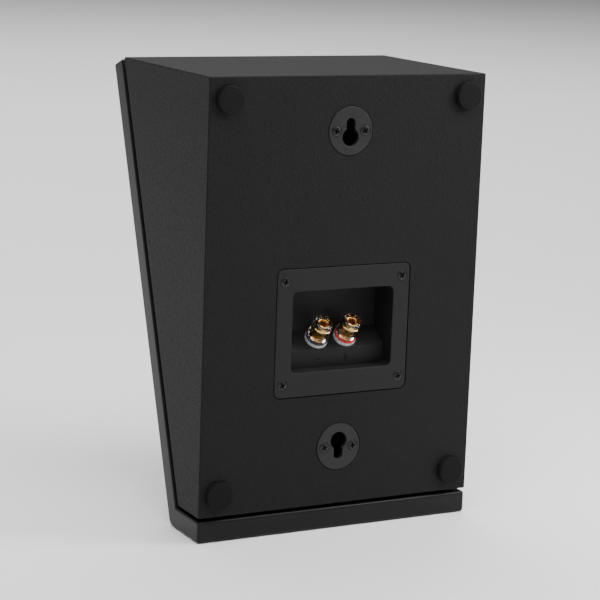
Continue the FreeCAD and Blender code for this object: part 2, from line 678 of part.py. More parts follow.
def spider_corners():
    """Corrugated disc from the former out to the basket's ledge."""
    folds = 8
    upper = []
    for fold in range(folds + 1):
        radius = f"former_radius + 3 + (spider_outer - 7.5 - former_radius - 3) * {fold} / {folds}"
        lift = 1.2 if fold % 2 else 0
        upper.append((radius, lift))
    level = "-spider_ledge_depth"
    corners = [("former_radius + 0.02", level)]
    corners += [(radius, f"{level} + {lift}") for radius, lift in upper]
    corners.append(("spider_outer", level))
    corners.append(("spider_outer", f"{level} + spider_sheet"))
    corners += [(radius, f"{level} + {lift} + spider_sheet") for radius, lift in reversed(upper)]
    corners.append(("former_radius + 0.02", f"{level} + spider_sheet"))
    return corners


def dome(name, frame, radius, rise, level, thickness, steps=8):
    """Spherical cap of even thickness, standing on a level."""
    ball = f"(({radius}) ^ 2 + ({rise}) ^ 2) / (2 * ({rise}))"
    outer = []
    inner = []
    for step in range(steps + 1):
        share = f"(1 - {step} / {steps})"
        across = f"({radius}) * {share}"
        height = f"sqrt(({ball}) ^ 2 - ({across}) ^ 2) - ({ball}) + ({rise})"
        outer.append((across, f"{level} + {height}"))
        inner.append((across, f"{level} + {height} - {thickness}"))
    return turned(name, frame, outer + inner[::-1])


def woofer_motor():
    """Steel plates, ferrite ring and the pole that the coil runs on."""
    top = "-basket_depth"
    magnet_top = "-basket_depth - top_plate_thickness"
    magnet_low = "-basket_depth - top_plate_thickness - magnet_thickness"
    keep(tube("woofer_top_plate", WOOFER, "voice_gap_outer", "top_plate_radius", magnet_top, top),
         "woofer_top_plate")
    keep(tube("woofer_magnet", WOOFER, "magnet_bore", "magnet_radius", magnet_low, magnet_top),
         "woofer_magnet")
    low = f"{magnet_low} - back_plate_thickness"
    keep(turned("woofer_back_plate", WOOFER, [
        ("pole_vent", low), ("top_plate_radius - 1.5", low), ("top_plate_radius", f"{low} + 1.5"),
        ("top_plate_radius", magnet_low), ("pole_radius", magnet_low),
        ("pole_radius", f"{top} - 0.3"), ("pole_vent", f"{top} - 0.3")]), "woofer_back_plate")


def woofer_terminals():
    """Insulating strip under the basket's ring with two push-on tabs."""
    strip = block("woofer_strip", shifted(WOOFER, x=-58, y=-8, z=-41), "15.6", "16", "1.9")
    tabs = [block(f"woofer_tab{index}", shifted(WOOFER, x=-57, y=offset, z=-47.5), "0.8", "4.8", "7")
            for index, offset in enumerate((-6.9, 2.1))]
    keep(fuse("woofer_terminals", [strip] + tabs), "woofer_terminals")


# ---------------------------------------------------------------- tweeter

def tweeter_faceplate():
    """Round plate with a shallow horn around the dome."""
    body = turned("tweeter_faceplate_body", TWEETER, [
        ("tweeter_radius - 0.4", "0"), ("tweeter_radius", "-0.4"), ("tweeter_radius", "-tweeter_plate"),
        ("tweeter_hole_radius - 0.5", "-tweeter_plate"), ("tweeter_hole_radius - 0.5", "-guide_depth"),
        ("guide_throat", "-guide_depth"), ("guide_throat", "-guide_depth + 1"),
        ("guide_throat + 2", "-guide_depth + 1.9"), ("guide_throat + 6", "-guide_depth + 3.5"),
        ("guide_throat + 10", "-1.1"), ("guide_mouth - 2", "-0.3"), ("guide_mouth", "0")])
    cutters = screw_holes("tweeter_plate", TWEETER_SCREWS, "small_head", "small_shank", "small_length")
    keep(cut("tweeter_faceplate", body, cutters), "tweeter_faceplate")


def tweeter_gasket():
    """Thin foam ring under the tweeter's plate."""
    body = tube("tweeter_gasket_body", TWEETER, "tweeter_hole_radius + 0.1", "tweeter_radius",
                "-tweeter_plate - tweeter_gasket_sheet", "-tweeter_plate")
    cutters = [drill(f"tgasket_bore{index}", frame, "small_shank", "small_length", -size("small_length"))
               for index, frame in enumerate(TWEETER_SCREWS)]
    keep(cut("tweeter_gasket", body, cutters), "tweeter_gasket")


def tweeter_motor():
    """Dome, its edge, coil and the magnet system behind."""
    fabric = dome("tweeter_dome", TWEETER, "dome_radius", "dome_rise", "-dome_base", "dome_sheet")
    keep(fabric, "tweeter_dome")
    keep(surround_roll("tweeter_surround", TWEETER, "dome_radius + 0.3", "guide_throat - 0.3",
                       "dome_radius + 0.1", "guide_throat + 2", "-dome_base - 0.8", "dome_sheet", steps=6),
         "tweeter_surround")
    keep(tube("tweeter_coil", TWEETER, "dome_radius - 0.5", "dome_radius",
              "-tweeter_coil_end", "-dome_base - dome_sheet"), "tweeter_coil")
    top = "-tweeter_top_depth"
    magnet_top = f"{top} - tweeter_top_thickness"
    magnet_low = f"{magnet_top} - tweeter_magnet_thickness"
    yoke_low = f"{magnet_low} - tweeter_yoke"
    keep(tube("tweeter_top_plate", TWEETER, "tweeter_gap_outer", "tweeter_top_radius", magnet_top, top),
         "tweeter_top_plate")
    keep(tube("tweeter_magnet", TWEETER, "tweeter_magnet_bore", "tweeter_magnet_radius",
              magnet_low, magnet_top), "tweeter_magnet")
    keep(turned("tweeter_back_plate", TWEETER, [
        ("pole_vent", yoke_low), ("tweeter_top_radius", yoke_low), ("tweeter_top_radius", magnet_low),
        ("tweeter_pole", magnet_low), ("tweeter_pole", f"{top} - 0.3"), ("pole_vent", f"{top} - 0.3")]),
        "tweeter_back_plate")
    chamber_low = f"{yoke_low} - chamber_length"
    keep(turned("tweeter_rear_chamber", TWEETER, [
        ("0", chamber_low), ("chamber_radius - 1.5", chamber_low), ("chamber_radius", f"{chamber_low} + 1.5"),
        ("chamber_radius", yoke_low), ("chamber_radius - chamber_wall", yoke_low),
        ("chamber_radius - chamber_wall", f"{chamber_low} + chamber_wall"),
        ("0", f"{chamber_low} + chamber_wall")]), "tweeter_rear_chamber")


# ---------------------------------------------------------------- terminal cup and binding posts

def terminal_cup():
    """Moulded cup: flush flange, and a recess whose shelf tilts the binding posts upwards."""
    body = new_body("terminal_cup_body", BUILD)
    half_wide = "cup_flange_width / 2"
    flange = rectangle(body, "cup_flange_sketch", "XZ_Plane", f"-{half_wide}", half_wide,
                       "cup_height - cup_flange_tall / 2", "cup_height + cup_flange_tall / 2")
    pad(body, flange, "cup_flange")
    round_edges(body, "cup_corners", "cup_corner", along_y)
    shell = outline(body, "cup_outside", "YZ_Plane", [
        ("-1", "recess_top + cup_wall"), ("-recess_deep - cup_wall", "recess_top + cup_wall"),
        ("-recess_deep - cup_wall", "recess_crease - 0.5 * cup_wall"),
        ("-recess_step - cup_wall", "recess_shelf - 0.5 * cup_wall"),
        ("-recess_step - cup_wall", "recess_floor - cup_wall"), ("-1", "recess_floor - cup_wall")])
    pad(body, shell, "recess_width + 2 * cup_wall", symmetric=True)
    recess = outline(body, "cup_recess", "YZ_Plane", [
        ("1", "recess_top"), ("-recess_deep", "recess_top"), ("-recess_deep", "recess_crease"),
        ("-recess_step", "recess_shelf"), ("-recess_step", "recess_floor"), ("1", "recess_floor")])
    pocket(body, recess, "recess_width", symmetric=True)
    round_edges(body, "cup_recess_corners", "recess_corner", is_recess_corner)
    round_edges(body, "cup_lips", "lip_round", is_rear_edge)
    bores = screw_holes("cup", cup_screw_frames(), "small_head", "small_shank", "small_length")
    cutters = polarity_marks() + bores
    for index, side in enumerate((1, -1)):
        cutters.append(drill(f"cup_post_hole{index}", post_frame(side), "stud_radius + thread_clearance",
                             "20", -10))
    keep(cut("terminal_cup", body, cutters), "terminal_cup")


def along_y(edge):
    """True for a straight edge that runs front to back."""
    box = edge.BoundBox
    return box.YLength > 1 and box.XLength < 1e-3 and box.ZLength < 1e-3


def is_recess_corner(edge):
    """True for the four front-to-back corner edges inside the recess."""
    inside = abs(abs(edge.BoundBox.Center.x) - size("recess_width") / 2) < 0.01
    heights = (size("recess_top"), size("recess_floor"))
    level = min(abs(edge.BoundBox.Center.z - height) for height in heights) < 0.01
    return along_y(edge) and inside and level


def is_short_along_y(edge):
    """True for a straight front-to-back edge of any length."""
    box = edge.BoundBox
    return box.XLength < 1e-3 and box.ZLength < 1e-3


def is_rear_edge(edge):
    """True for an edge that lies in the rear face."""
    box = edge.BoundBox
    return abs(box.YMax) < 1e-3 and box.YLength < 1e-3


def polarity_marks():
    """Cutters for the sunk minus and plus on the step below the posts."""
    items = []
    for side, turns in ((1, (0,)), (-1, (0, 90))):
        x = side * size("post_pitch") / 2 + size("mark_shift")
        middle = at(x, -size("recess_step"), size("mark_height"))
        for turn in turns:
            spun = middle.multiply(Placement(Vector(), Rotation(Vector(0, 1, 0), turn)))
            corner = shifted(spun, x=-size("mark_long") / 2, y=-size("mark_deep"), z=-size("mark_wide") / 2)
            items.append(block(f"mark{side}_{turn}", corner, "mark_long", "2 * mark_deep", "mark_wide"))
    return items


def terminal_gasket():
    """Foam frame between the cup's flange and the rear panel."""
    body = new_body("terminal_gasket_body", at(0, -size("cup_flange"), 0))
    outer = rectangle(body, "cup_gasket_outer", "XZ_Plane", "-cup_flange_width / 2", "cup_flange_width / 2",
                      "cup_height - cup_flange_tall / 2", "cup_height + cup_flange_tall / 2")
    pad(body, outer, "cup_gasket")
    round_edges(body, "cup_gasket_corners", "cup_corner", is_short_along_y)
    half = "(recess_width / 2 + cup_wall + 0.3)"
    inner = rectangle(body, "cup_gasket_inner", "XZ_Plane", f"-{half}", half,
                      "recess_floor - cup_wall - 0.3", "recess_top + cup_wall + 0.3")
    pocket(body, inner, "cup_gasket", reverse=True)
    cutters = [drill(f"cup_gasket_bore{index}", frame, "small_shank", "small_length", -size("small_length"))
               for index, frame in enumerate(cup_screw_frames())]
    keep(cut("terminal_gasket", body, cutters), "terminal_gasket")


def binding_post(sign, side):
    """One five-way binding post: returns its stud and base ring, keeps what is its own."""
    frame = post_frame(side)
    colour_top = "base_ring_thickness + colour_ring_thickness"
    bore = "(stud_radius + thread_clearance)"
    stud = turned(f"{sign}_stud_body", frame, [
        ("0", "-stud_tail"), ("stud_radius - 0.5", "-stud_tail"), ("stud_radius", "-stud_tail + 0.5"),
        ("stud_radius", "stud_end - 0.4"), ("stud_radius - 0.4", "stud_end"), ("plug_bore", "stud_end"),
        ("plug_bore", "stud_end - plug_depth"), ("0", "stud_end - plug_depth")])
    start = Vector(-size("knob_radius"), 0, size("knob_start") + 1.6)
    across = Placement(start, Rotation(Vector(0, 1, 0), 90))
    wire_hole = drill(f"{sign}_wire_hole", frame.multiply(across), "wire_hole", "2 * knob_radius")
    bored_stud = cut(f"{sign}_stud", stud, [wire_hole])
    base_ring = tube(f"{sign}_base_ring", frame, bore, "base_ring_radius", "0", "base_ring_thickness")
    keep(tube(f"post_{sign}_colour_ring", frame, bore, "colour_ring_radius",
              "base_ring_thickness", colour_top), f"post_{sign}_colour_ring")
    keep(tube(f"post_{sign}_washer", frame, bore, "washer_radius", f"{colour_top} + washer_gap",
              f"{colour_top} + washer_gap + washer_thickness"), f"post_{sign}_washer")
    keep(tube(f"post_{sign}_knob_insert", frame, bore, "insert_radius", "knob_start", "insert_end"),
         f"post_{sign}_knob_insert")
    keep(turned(f"post_{sign}_knob", frame, [
        ("insert_radius", "knob_start"), ("knob_radius - 0.3", "knob_start"),
        ("knob_radius", "knob_start + 0.3"), ("knob_radius", "knob_start + knob_skirt"),
        ("knob_waist", "knob_start + knob_skirt + 0.6"), ("knob_neck", "insert_end - 1"),
        ("knob_neck - 0.6", "knob_end - 0.5"), ("knob_neck - 1.3", "knob_end"),
        ("knob_mouth", "knob_end"), ("knob_mouth", "insert_end"),
        ("insert_radius", "insert_end")]), f"post_{sign}_knob")
    return bored_stud, base_ring


def post_nut(sign, frame):
    """Hexagon nut and the solder tag that it clamps behind the shelf."""
    body = new_body(f"{sign}_nut_body", frame)
    corner = "nut_flats / sqrt(3)"
    hexagon = [(f"{corner} * cos({60 * index})", f"{corner} * sin({60 * index})") for index in range(6)]
    start = size("cup_wall") + size("tag_thickness") + size("washer_gap")
    body.Placement = shifted(frame, z=-start - size("nut_thickness"))
    pad(body, outline(body, f"{sign}_hexagon", "XY_Plane", hexagon), "nut_thickness")
    bore = drill(f"{sign}_nut_bore", frame, "stud_radius", "stud_tail", -size("stud_tail"))
    nut = cut(f"{sign}_nut", body, [bore])
    disc = drill(f"{sign}_tag_disc", frame, "nut_flats / 2", "tag_thickness",
                 -start)
    tongue = block(f"{sign}_tag_tongue", shifted(frame, x=-2, y=-size("nut_flats") * 1.3, z=-start),
                   "4", "nut_flats", "tag_thickness")
    tag_bore = drill(f"{sign}_tag_bore", frame, "stud_radius", "stud_tail", -size("stud_tail"))
    return nut, cut(f"{sign}_solder_tag", fuse(f"{sign}_tag_blank", [disc, tongue]), [tag_bore])


def binding_posts():
    """Both posts; the pieces that are alike on the two of them share a node."""
    fixed = {"post_studs": [], "post_base_rings": [], "post_nuts": [], "post_solder_tags": []}
    for sign, side in (("negative", 1), ("positive", -1)):
        pieces = binding_post(sign, side) + post_nut(sign, post_frame(side))
        for label, item in zip(fixed, pieces):
            fixed[label].append(item)
    for label, items in fixed.items():
        keep(group(label, items), label)


# ---------------------------------------------------------------- rear face fittings

def keyhole_plate(label, height, direction):
    """Flush disc with a keyhole; direction is 1 where the slot points up."""
    body = new_body(f"{label}_body", at(0, size("keyhole_proud"), 0))
    disc = circles(body, f"{label}_disc", "XZ_Plane", [("0", height, "keyhole_disc")])
    pad(body, disc, "keyhole_thickness")
    entry = circles(body, f"{label}_entry", "XZ_Plane",
                    [("0", f"{height} - {direction} * keyhole_drop", "keyhole_entry")])
    pocket(body, entry, "keyhole_thickness", reverse=True)
    stem = f"{height} - {direction} * keyhole_drop"
    tip = f"{height} + {direction} * keyhole_rise"
    slot = outline(body, f"{label}_slot", "XZ_Plane", [
        ("-keyhole_slot", stem), ("keyhole_slot", stem), ("keyhole_slot", tip), ("-keyhole_slot", tip)])
    pocket(body, slot, "keyhole_thickness", reverse=True)
    end = circles(body, f"{label}_end", "XZ_Plane", [("0", tip, "keyhole_slot")])
    pocket(body, end, "keyhole_thickness", reverse=True)
    round_edges(body, f"{label}_round", "plate_round", is_rear_edge)
    frames = keyhole_screw_frames()
    pair = frames[:2] if direction == 1 else frames[2:]
    cutters = screw_holes(label, pair, "small_head", "small_shank", "small_length")
    keep(cut(label, body, cutters), label)


def rubber_pads():
    """Four round bumpers near the corners of the rear face."""
    items = []
    for across in (-1, 1):
        for end in (0, 1):
            x = across * (size("cabinet_width") / 2 - size("pad_inset_side"))
            low = cabinet_low + size("pad_inset_end")
            high = cabinet_top - size("pad_inset_end")
            name = f"pad_{'left' if across < 0 else 'right'}_{'top' if end else 'bottom'}"
            items.append(turned(name, at(x, 0, high if end else low, TILT_REAR), [
                ("0", "0"), ("pad_radius", "0"), ("pad_radius", "pad_thickness - 1.5"),
                ("pad_radius - 0.4", "pad_thickness - 0.6"), ("pad_radius - 1.2", "pad_thickness - 0.1"),
                ("pad_radius - 2.2", "pad_thickness"), ("0", "pad_thickness")]))
    keep(group("rubber_pads", items), "rubber_pads")


# ---------------------------------------------------------------- inside

def board_frame():
    """Frame on the crossover board's component side: Z points to the middle of the cabinet."""
    x = -(size("cabinet_width") / 2 - size("wall") - size("standoff") - size("board_sheet"))
    turn = Rotation(Vector(0, 0, 1), 90).multiply(Rotation(Vector(1, 0, 0), 90))
    place = Vector(x, -size("board_rear") - size("board_width"), size("board_height") - origin_height)
    return Placement(place, turn)


def crossover():
    """Board on four posts with its coils, capacitors and resistor."""
    frame = board_frame()
    corners = [(across, up) for across in (4, size("board_width") - 4) for up in (4, size("board_tall") - 4)]
    board = block("crossover_sheet", shifted(frame, z=-size("board_sheet")),
                  "board_width", "board_tall", "board_sheet")
    bores = [drill(f"board_bore{index}", shifted(frame, x=across, y=up, z=-size("board_sheet") - 1),
                   "small_shank", "board_sheet + 2") for index, (across, up) in enumerate(corners)]
    keep(cut("crossover_board", board, bores), "crossover_board")
    posts = []
    pins = []
    for index, (across, up) in enumerate(corners):
        foot = shifted(frame, x=across, y=up, z=-size("board_sheet") - size("standoff"))
        sleeve = drill(f"standoff_sleeve{index}", foot, "standoff_radius", "standoff")
        hole = drill(f"standoff_hole{index}", foot, "small_shank", "standoff")
        posts.append(cut(f"standoff{index}", sleeve, [hole]))
        shank = drill(f"board_screw_shank{index}", foot, "small_shank", "standoff + board_sheet")
        head = drill(f"board_screw_head{index}", shifted(frame, x=across, y=up), "small_head", "head_height")
        pins.append(fuse(f"board_screw{index}", [shank, head]))
    keep(group("crossover_standoffs", posts), "crossover_standoffs")
    keep(group("crossover_screws", pins), "crossover_screws")
    coils = []
    for index, up in enumerate((16, size("board_tall") - 16)):
        spot = shifted(frame, x=15, y=up, z=0.2)
        outer = drill(f"inductor_outer{index}", spot, "coil_outer", "coil_long")
        inner = drill(f"inductor_inner{index}", spot, "coil_bore", "coil_long")
        coils.append(cut(f"inductor{index}", outer, [inner]))
    keep(group("crossover_inductors", coils), "crossover_inductors")
    lying = Placement(Vector(32, 28, size("capacitor_radius") + 0.3), Rotation(Vector(1, 0, 0), -90))
    keep(drill("crossover_capacitor", frame.multiply(lying), "capacitor_radius", "capacitor_long"),
         "crossover_capacitor")
    keep(block("crossover_resistor", shifted(frame, x=2, y=34.5, z=0.2),
               "resistor_side", "resistor_long", "resistor_side"), "crossover_resistor")


def damping_wadding():
    """Pad of wadding on the rear panel behind the woofer."""
    x = size("wadding_shift") - size("wadding_width") / 2
    y = -size("wall") - size("keyhole_cover") - size("wadding_gap") - size("wadding_thick")
    frame = at(x, y, size("wadding_low"))
    keep(block("damping_wadding", frame, "wadding_width", "wadding_thick", "wadding_tall"), "damping_wadding")


def wire_path(points):
    """Straight runs joined by tangent arcs, each as large as its shorter run allows."""
    edges = []
    start = points[0]
    for before, corner, after in zip(points, points[1:], points[2:]):
        back = before - corner
        ahead = after - corner
        setback = 0.45 * min(back.Length, ahead.Length)
        back.normalize()
        ahead.normalize()
        middle = back + ahead
        middle.normalize()
        half_turn = (math.pi - back.getAngle(ahead)) / 2
        radius = setback / math.tan(half_turn)
        entry = corner + back * setback
        leave = corner + ahead * setback
        crown = corner + middle * (radius / math.cos(half_turn) - radius)
        edges.append(Part.LineSegment(start, entry).toShape())
        edges.append(Part.Arc(entry, crown, leave).toShape())
        start = leave
    edges.append(Part.LineSegment(start, points[-1]).toShape())
    return Part.Wire(edges)


def insulated_wire(points):
    """Round wire along a route; its volume has to be its section times its length."""
    path = wire_path([Vector(x, y, z - origin_height) for x, y, z in points])
    radius = size("wire_radius")
    direction = path.Edges[0].tangentAt(path.Edges[0].FirstParameter)
    section = Part.Wire(Part.makeCircle(radius, path.Edges[0].firstVertex().Point, direction))
    solid = path.makePipeShell([section], True, True)
    expected = math.pi * radius ** 2 * path.Length
    if abs(solid.Volume - expected) > 0.02 * expected:
        raise RuntimeError("a wire's volume is off")
    return solid


def internal_wires():
    """Pairs from the solder tags to the crossover, and on to the woofer and the tweeter."""
    routes = [
        [(9.5, -26.8, 120), (9.5, -29.5, 134), (-15, -30, 146), (-50, -28, 151.5), (-69.2, -26.5, 153)],
        [(-9.5, -26.8, 120), (-9.5, -30, 131), (-28, -31, 142), (-54, -32, 150), (-69.2, -31.5, 152)],
        [(-69.2, -36, 152), (-60, -31, 138), (-48, -27, 113), (-35, -30, 95), (-29, -42.8, 88)],
        [(-69.2, -41, 152), (-62, -35, 136), (-52, -28, 112), (-40, -27, 90), (-29.4, -44, 82)],
        [(-69.2, -40, 197), (-61, -42, 197), (-54, -51, 201), (-56.6, -65.2, 207.2)],
        [(-69.2, -40, 188), (-60, -42, 189), (-54, -50, 194), (-56.6, -62.2, 198.8)],
    ]
    item = document.addObject("Part::Feature", "internal_wires")
    item.Shape = Part.makeCompound([insulated_wire(route) for route in routes])
    item.Placement = Placement()
    keep(item, "internal_wires")


# ---------------------------------------------------------------- build

cabinet_panels()
cabinet_baffle()
fascia_spacer()
base_spacer()
front_fascia()
woofer_frame()
woofer_gasket()
woofer_moving_parts()
woofer_motor()
woofer_terminals()
screws("woofer_screws", WOOFER_SCREWS, "large_head", "large_shank", "large_length")
tweeter_faceplate()
tweeter_gasket()
tweeter_motor()
screws("tweeter_screws", TWEETER_SCREWS, "small_head", "small_shank", "small_length")
terminal_cup()
terminal_gasket()
screws("terminal_screws", cup_screw_frames(), "small_head", "small_shank", "small_length")
binding_posts()
keyhole_plate("keyhole_plate_upper", "keyhole_upper", 1)
keyhole_plate("keyhole_plate_lower", "keyhole_lower", -1)
keyhole_covers()
screws("keyhole_screws", keyhole_screw_frames(), "small_head", "small_shank", "small_length")
rubber_pads()
crossover()
damping_wadding()
internal_wires()

document.recompute()

for item in document.Objects:
    if "Invalid" in item.State or "Error" in item.State:
        raise RuntimeError(f"{item.Name} did not compute: {item.State}")
for item in nodes:
    if item.Shape.isNull() or not item.Shape.isValid() or item.Shape.Volume <= 0:
        raise RuntimeError(f"{item.Label} has no valid shape")

os.makedirs("parts", exist_ok=True)
for item in nodes:
    item.Shape.exportStep(f"parts/{item.Label}.step")
print(len(nodes), "sub-parts written")
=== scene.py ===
import json
import math

import bmesh
import bpy
from mathutils import Matrix, Vector, noise


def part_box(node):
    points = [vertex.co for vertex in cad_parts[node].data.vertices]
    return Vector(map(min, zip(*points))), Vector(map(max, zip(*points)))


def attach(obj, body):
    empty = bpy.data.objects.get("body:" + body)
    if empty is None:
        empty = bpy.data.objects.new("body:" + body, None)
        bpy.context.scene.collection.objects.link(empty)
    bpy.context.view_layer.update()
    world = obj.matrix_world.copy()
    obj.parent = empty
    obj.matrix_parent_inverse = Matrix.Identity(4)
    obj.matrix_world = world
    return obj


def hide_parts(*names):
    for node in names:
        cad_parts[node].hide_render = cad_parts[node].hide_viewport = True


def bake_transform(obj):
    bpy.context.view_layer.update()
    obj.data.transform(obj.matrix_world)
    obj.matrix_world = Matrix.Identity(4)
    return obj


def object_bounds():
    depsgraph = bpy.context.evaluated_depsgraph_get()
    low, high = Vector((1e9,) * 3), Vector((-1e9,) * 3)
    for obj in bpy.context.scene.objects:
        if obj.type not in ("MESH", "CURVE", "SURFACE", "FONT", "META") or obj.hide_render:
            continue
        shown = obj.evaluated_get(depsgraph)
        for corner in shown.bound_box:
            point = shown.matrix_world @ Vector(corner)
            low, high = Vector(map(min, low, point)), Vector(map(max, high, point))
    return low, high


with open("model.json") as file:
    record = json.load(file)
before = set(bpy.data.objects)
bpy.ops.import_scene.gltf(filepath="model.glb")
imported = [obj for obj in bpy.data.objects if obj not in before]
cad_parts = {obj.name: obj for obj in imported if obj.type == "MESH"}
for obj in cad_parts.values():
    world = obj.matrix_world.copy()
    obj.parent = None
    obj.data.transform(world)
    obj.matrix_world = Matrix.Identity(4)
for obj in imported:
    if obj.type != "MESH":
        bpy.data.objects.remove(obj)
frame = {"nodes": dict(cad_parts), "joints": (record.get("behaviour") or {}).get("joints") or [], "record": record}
cad_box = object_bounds()
nodes = frame["nodes"]
joints = {joint["name"]: joint for joint in frame["joints"]}

# Profiles are written in millimetres about their own axis; the scene is in metres.
MM = 0.001
TINY = 1e-6
CRISP_ANGLE = math.radians(35)
SCREW_CRISP_ANGLE = math.radians(32)
# A rounded corner takes up at most this share of each edge that meets there.
CORNER_SHARE = 0.45
# Steps round a turned piece, for wide rings and for knurled or fluted ones.
WIDE_SEGMENTS = 128
FLUTED_SEGMENTS = 144
RIGHT = Vector((1, 0, 0))
UP = Vector((0, 0, 1))
REAR = Vector((0, 1, 0))
FRONT_AXIS = Vector(joints["woofer_cone_travel"]["axis"]).normalized()
POST_AXIS = Vector(joints["negative_knob_travel"]["axis"]).normalized()


# ---------------------------------------------------------------- places

def axis_frame(points, axis, end="high"):
    """Frame amid some points, at their far or near end along an axis.

    Z runs along the axis and X across the cabinet.
    """
    z = axis.normalized()
    y = z.cross(RIGHT).normalized()
    x = y.cross(z)
    spans = []
    for row in (x, y, z):
        reaches = [row.dot(point) for point in points]
        spans.append((min(reaches), max(reaches)))
    level = spans[2][1] if end == "high" else spans[2][0]
    middle = x * sum(spans[0]) / 2 + y * sum(spans[1]) / 2 + z * level
    return Matrix.Translation(middle) @ Matrix((x, y, z)).transposed().to_4x4()


def node_frame(name, axis, end="high"):
    """Frame at one end of a CAD node."""
    return axis_frame([vertex.co for vertex in nodes[name].data.vertices], axis, end)


def solids(name):
    """Corner points of each separate solid in a CAD node."""
    build = bmesh.new()
    build.from_mesh(nodes[name].data)
    bmesh.ops.remove_doubles(build, verts=build.verts, dist=TINY)
    waiting = set(build.verts)
    groups = []
    while waiting:
        front = [waiting.pop()]
        group = []
        while front:
            vertex = front.pop()
            group.append(vertex.co.copy())
            near = [edge.other_vert(vertex) for edge in vertex.link_edges]
            fresh = [other for other in near if other in waiting]
            waiting.difference_update(fresh)
            front.extend(fresh)
        groups.append(group)
    build.free()
    return sorted(groups, key=lambda group: (round(group[0].x, 3), round(group[0].z, 3)))


# ---------------------------------------------------------------- mesh building

def soften(points, radius, steps=4, closed=False):
    """Outline with every corner swapped for a small curve."""
    count = len(points)
    corners = range(count) if closed else range(1, count - 1)
    result = [] if closed else [points[0]]
    for index in corners:
        before = Vector(points[index - 1])
        here = Vector(points[index])
        after = Vector(points[(index + 1) % count])
        reach_in = min(radius, CORNER_SHARE * (before - here).length)
        reach_out = min(radius, CORNER_SHARE * (after - here).length)
        start = here + (before - here).normalized() * reach_in
        finish = here + (after - here).normalized() * reach_out
        for step in range(steps + 1):
            share = step / steps
            point = start * (1 - share) ** 2 + here * 2 * share * (1 - share) + finish * share ** 2
            result.append(tuple(point))
    if not closed:
        result.append(points[-1])
    return result


def lathe(outline, closed=False, segments=96, wave=None):
    """Turned mesh about Z from (radius, level) points; wave may add to the radius by angle."""
    build = bmesh.new()
    rings = []
    for radius, level in outline:
        if radius < TINY:
            rings.append([build.verts.new((0, 0, level * MM))])
            continue
        ring = []
        for step in range(segments):
            angle = 2 * math.pi * step / segments
            reach = radius + (wave(radius, level, angle) if wave else 0)
            across = reach * math.cos(angle)
            along = reach * math.sin(angle)
            ring.append(build.verts.new((across * MM, along * MM, level * MM)))
        rings.append(ring)
    pairs = list(zip(rings, rings[1:]))
    if closed:
        pairs.append((rings[-1], rings[0]))
    for low, high in pairs:
        for step in range(segments):
            after = (step + 1) % segments
            if len(low) == 1:
                build.faces.new((low[0], high[step], high[after]))
            elif len(high) == 1:
                build.faces.new((low[step], high[0], low[after]))
            else:
                build.faces.new((low[step], high[step], high[after], low[after]))
    return build


def linked(name, data):
    """Object in the scene around a mesh, light or camera."""
    item = bpy.data.objects.new(name, data)
    bpy.context.scene.collection.objects.link(item)
    return item


def merge(joined, build, place):
    """Add one mesh, moved to its place, to a joined mesh."""
    build.transform(place)
    mesh = bpy.data.meshes.new("merged")
    build.to_mesh(mesh)
    build.free()
    joined.from_mesh(mesh)
    bpy.data.meshes.remove(mesh)


def piece(name, build, place, body, slot):
    """Object from a mesh in its own frame, riding on a CAD body, in its slot's material."""
    bmesh.ops.recalc_face_normals(build, faces=build.faces)
    mesh = bpy.data.meshes.new(name)
    build.to_mesh(mesh)
    build.free()
    mesh.shade_smooth()
    item = linked(name, mesh)
    item.matrix_world = place
    mesh.materials.append(paint[slot])
    even_normals(item)
    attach(item, body)
    return item


def even_normals(item):
    """Large flat faces keep their own direction beside small rounded ones."""
    modifier = item.modifiers.new("Even normals", "WEIGHTED_NORMAL")
    modifier.mode = "FACE_AREA"
    modifier.keep_sharp = True


def dress(name, material):
    """Material and smooth shading on a CAD node that stays as it is."""
    item = nodes[name]
    item.data.materials.clear()
    item.data.materials.append(material)
    if "custom_normal" in item.data.attributes:
        item.data.attributes.remove(item.data.attributes["custom_normal"])
    item.data.shade_smooth()
    weld = item.modifiers.new("Weld", "WELD")
    weld.merge_threshold = TINY
    split = item.modifiers.new("Crisp edges", "EDGE_SPLIT")
    split.split_angle = CRISP_ANGLE
    even_normals(item)


# ---------------------------------------------------------------- materials

def feed(tree, socket, value):
    """Set an input to a value, or link it to another node's output."""
    if isinstance(value, bpy.types.NodeSocket):
        tree.links.new(value, socket)
    else:
        socket.default_value = value


def add(tree, kind, settings=None, **inputs):
    """New shader node; an input may be a value or another node's output."""
    item = tree.nodes.new(kind)
    for key, value in (settings or {}).items():
        setattr(item, key, value)
    for key, value in inputs.items():
        feed(tree, item.inputs[key.replace("_", " ")], value)
    return item


def blank(name):
    """Empty principled material: its tree, shader and object coordinates."""
    material = bpy.data.materials.new(name)
    material.use_nodes = True
    tree = material.node_tree
    shader = tree.nodes["Principled BSDF"]
    place = add(tree, "ShaderNodeTexCoord").outputs["Object"]
    return material, tree, shader, place


def clouds(tree, place, scale, detail=2.0, roughness=0.5):
    """Soft noise, features per metre."""
    return add(tree, "ShaderNodeTexNoise", Vector=place, Scale=scale, Detail=detail,
               Roughness=roughness).outputs["Fac"]


def ramp(tree, value, *stops):
    """Colour or grey looked up from a value."""
    item = add(tree, "ShaderNodeValToRGB", Fac=value)
    elements = item.color_ramp.elements
    while len(elements) < len(stops):
        elements.new(0.5)
    for element, (position, colour) in zip(elements, stops):
        element.position = position
        element.color = (*colour, 1) if isinstance(colour, tuple) else (colour, colour, colour, 1)
    return item.outputs["Color"]


def calc(tree, operation, first, second):
    """One arithmetic step."""
    item = tree.nodes.new("ShaderNodeMath")
    item.operation = operation
    for socket, value in zip(item.inputs, (first, second)):
        feed(tree, socket, value)
    return item.outputs[0]


def weighted(tree, first, first_share, second, second_share):
    """Sum of two values, each times its share."""
    return calc(tree, "ADD", calc(tree, "MULTIPLY", first, first_share),
                calc(tree, "MULTIPLY", second, second_share))


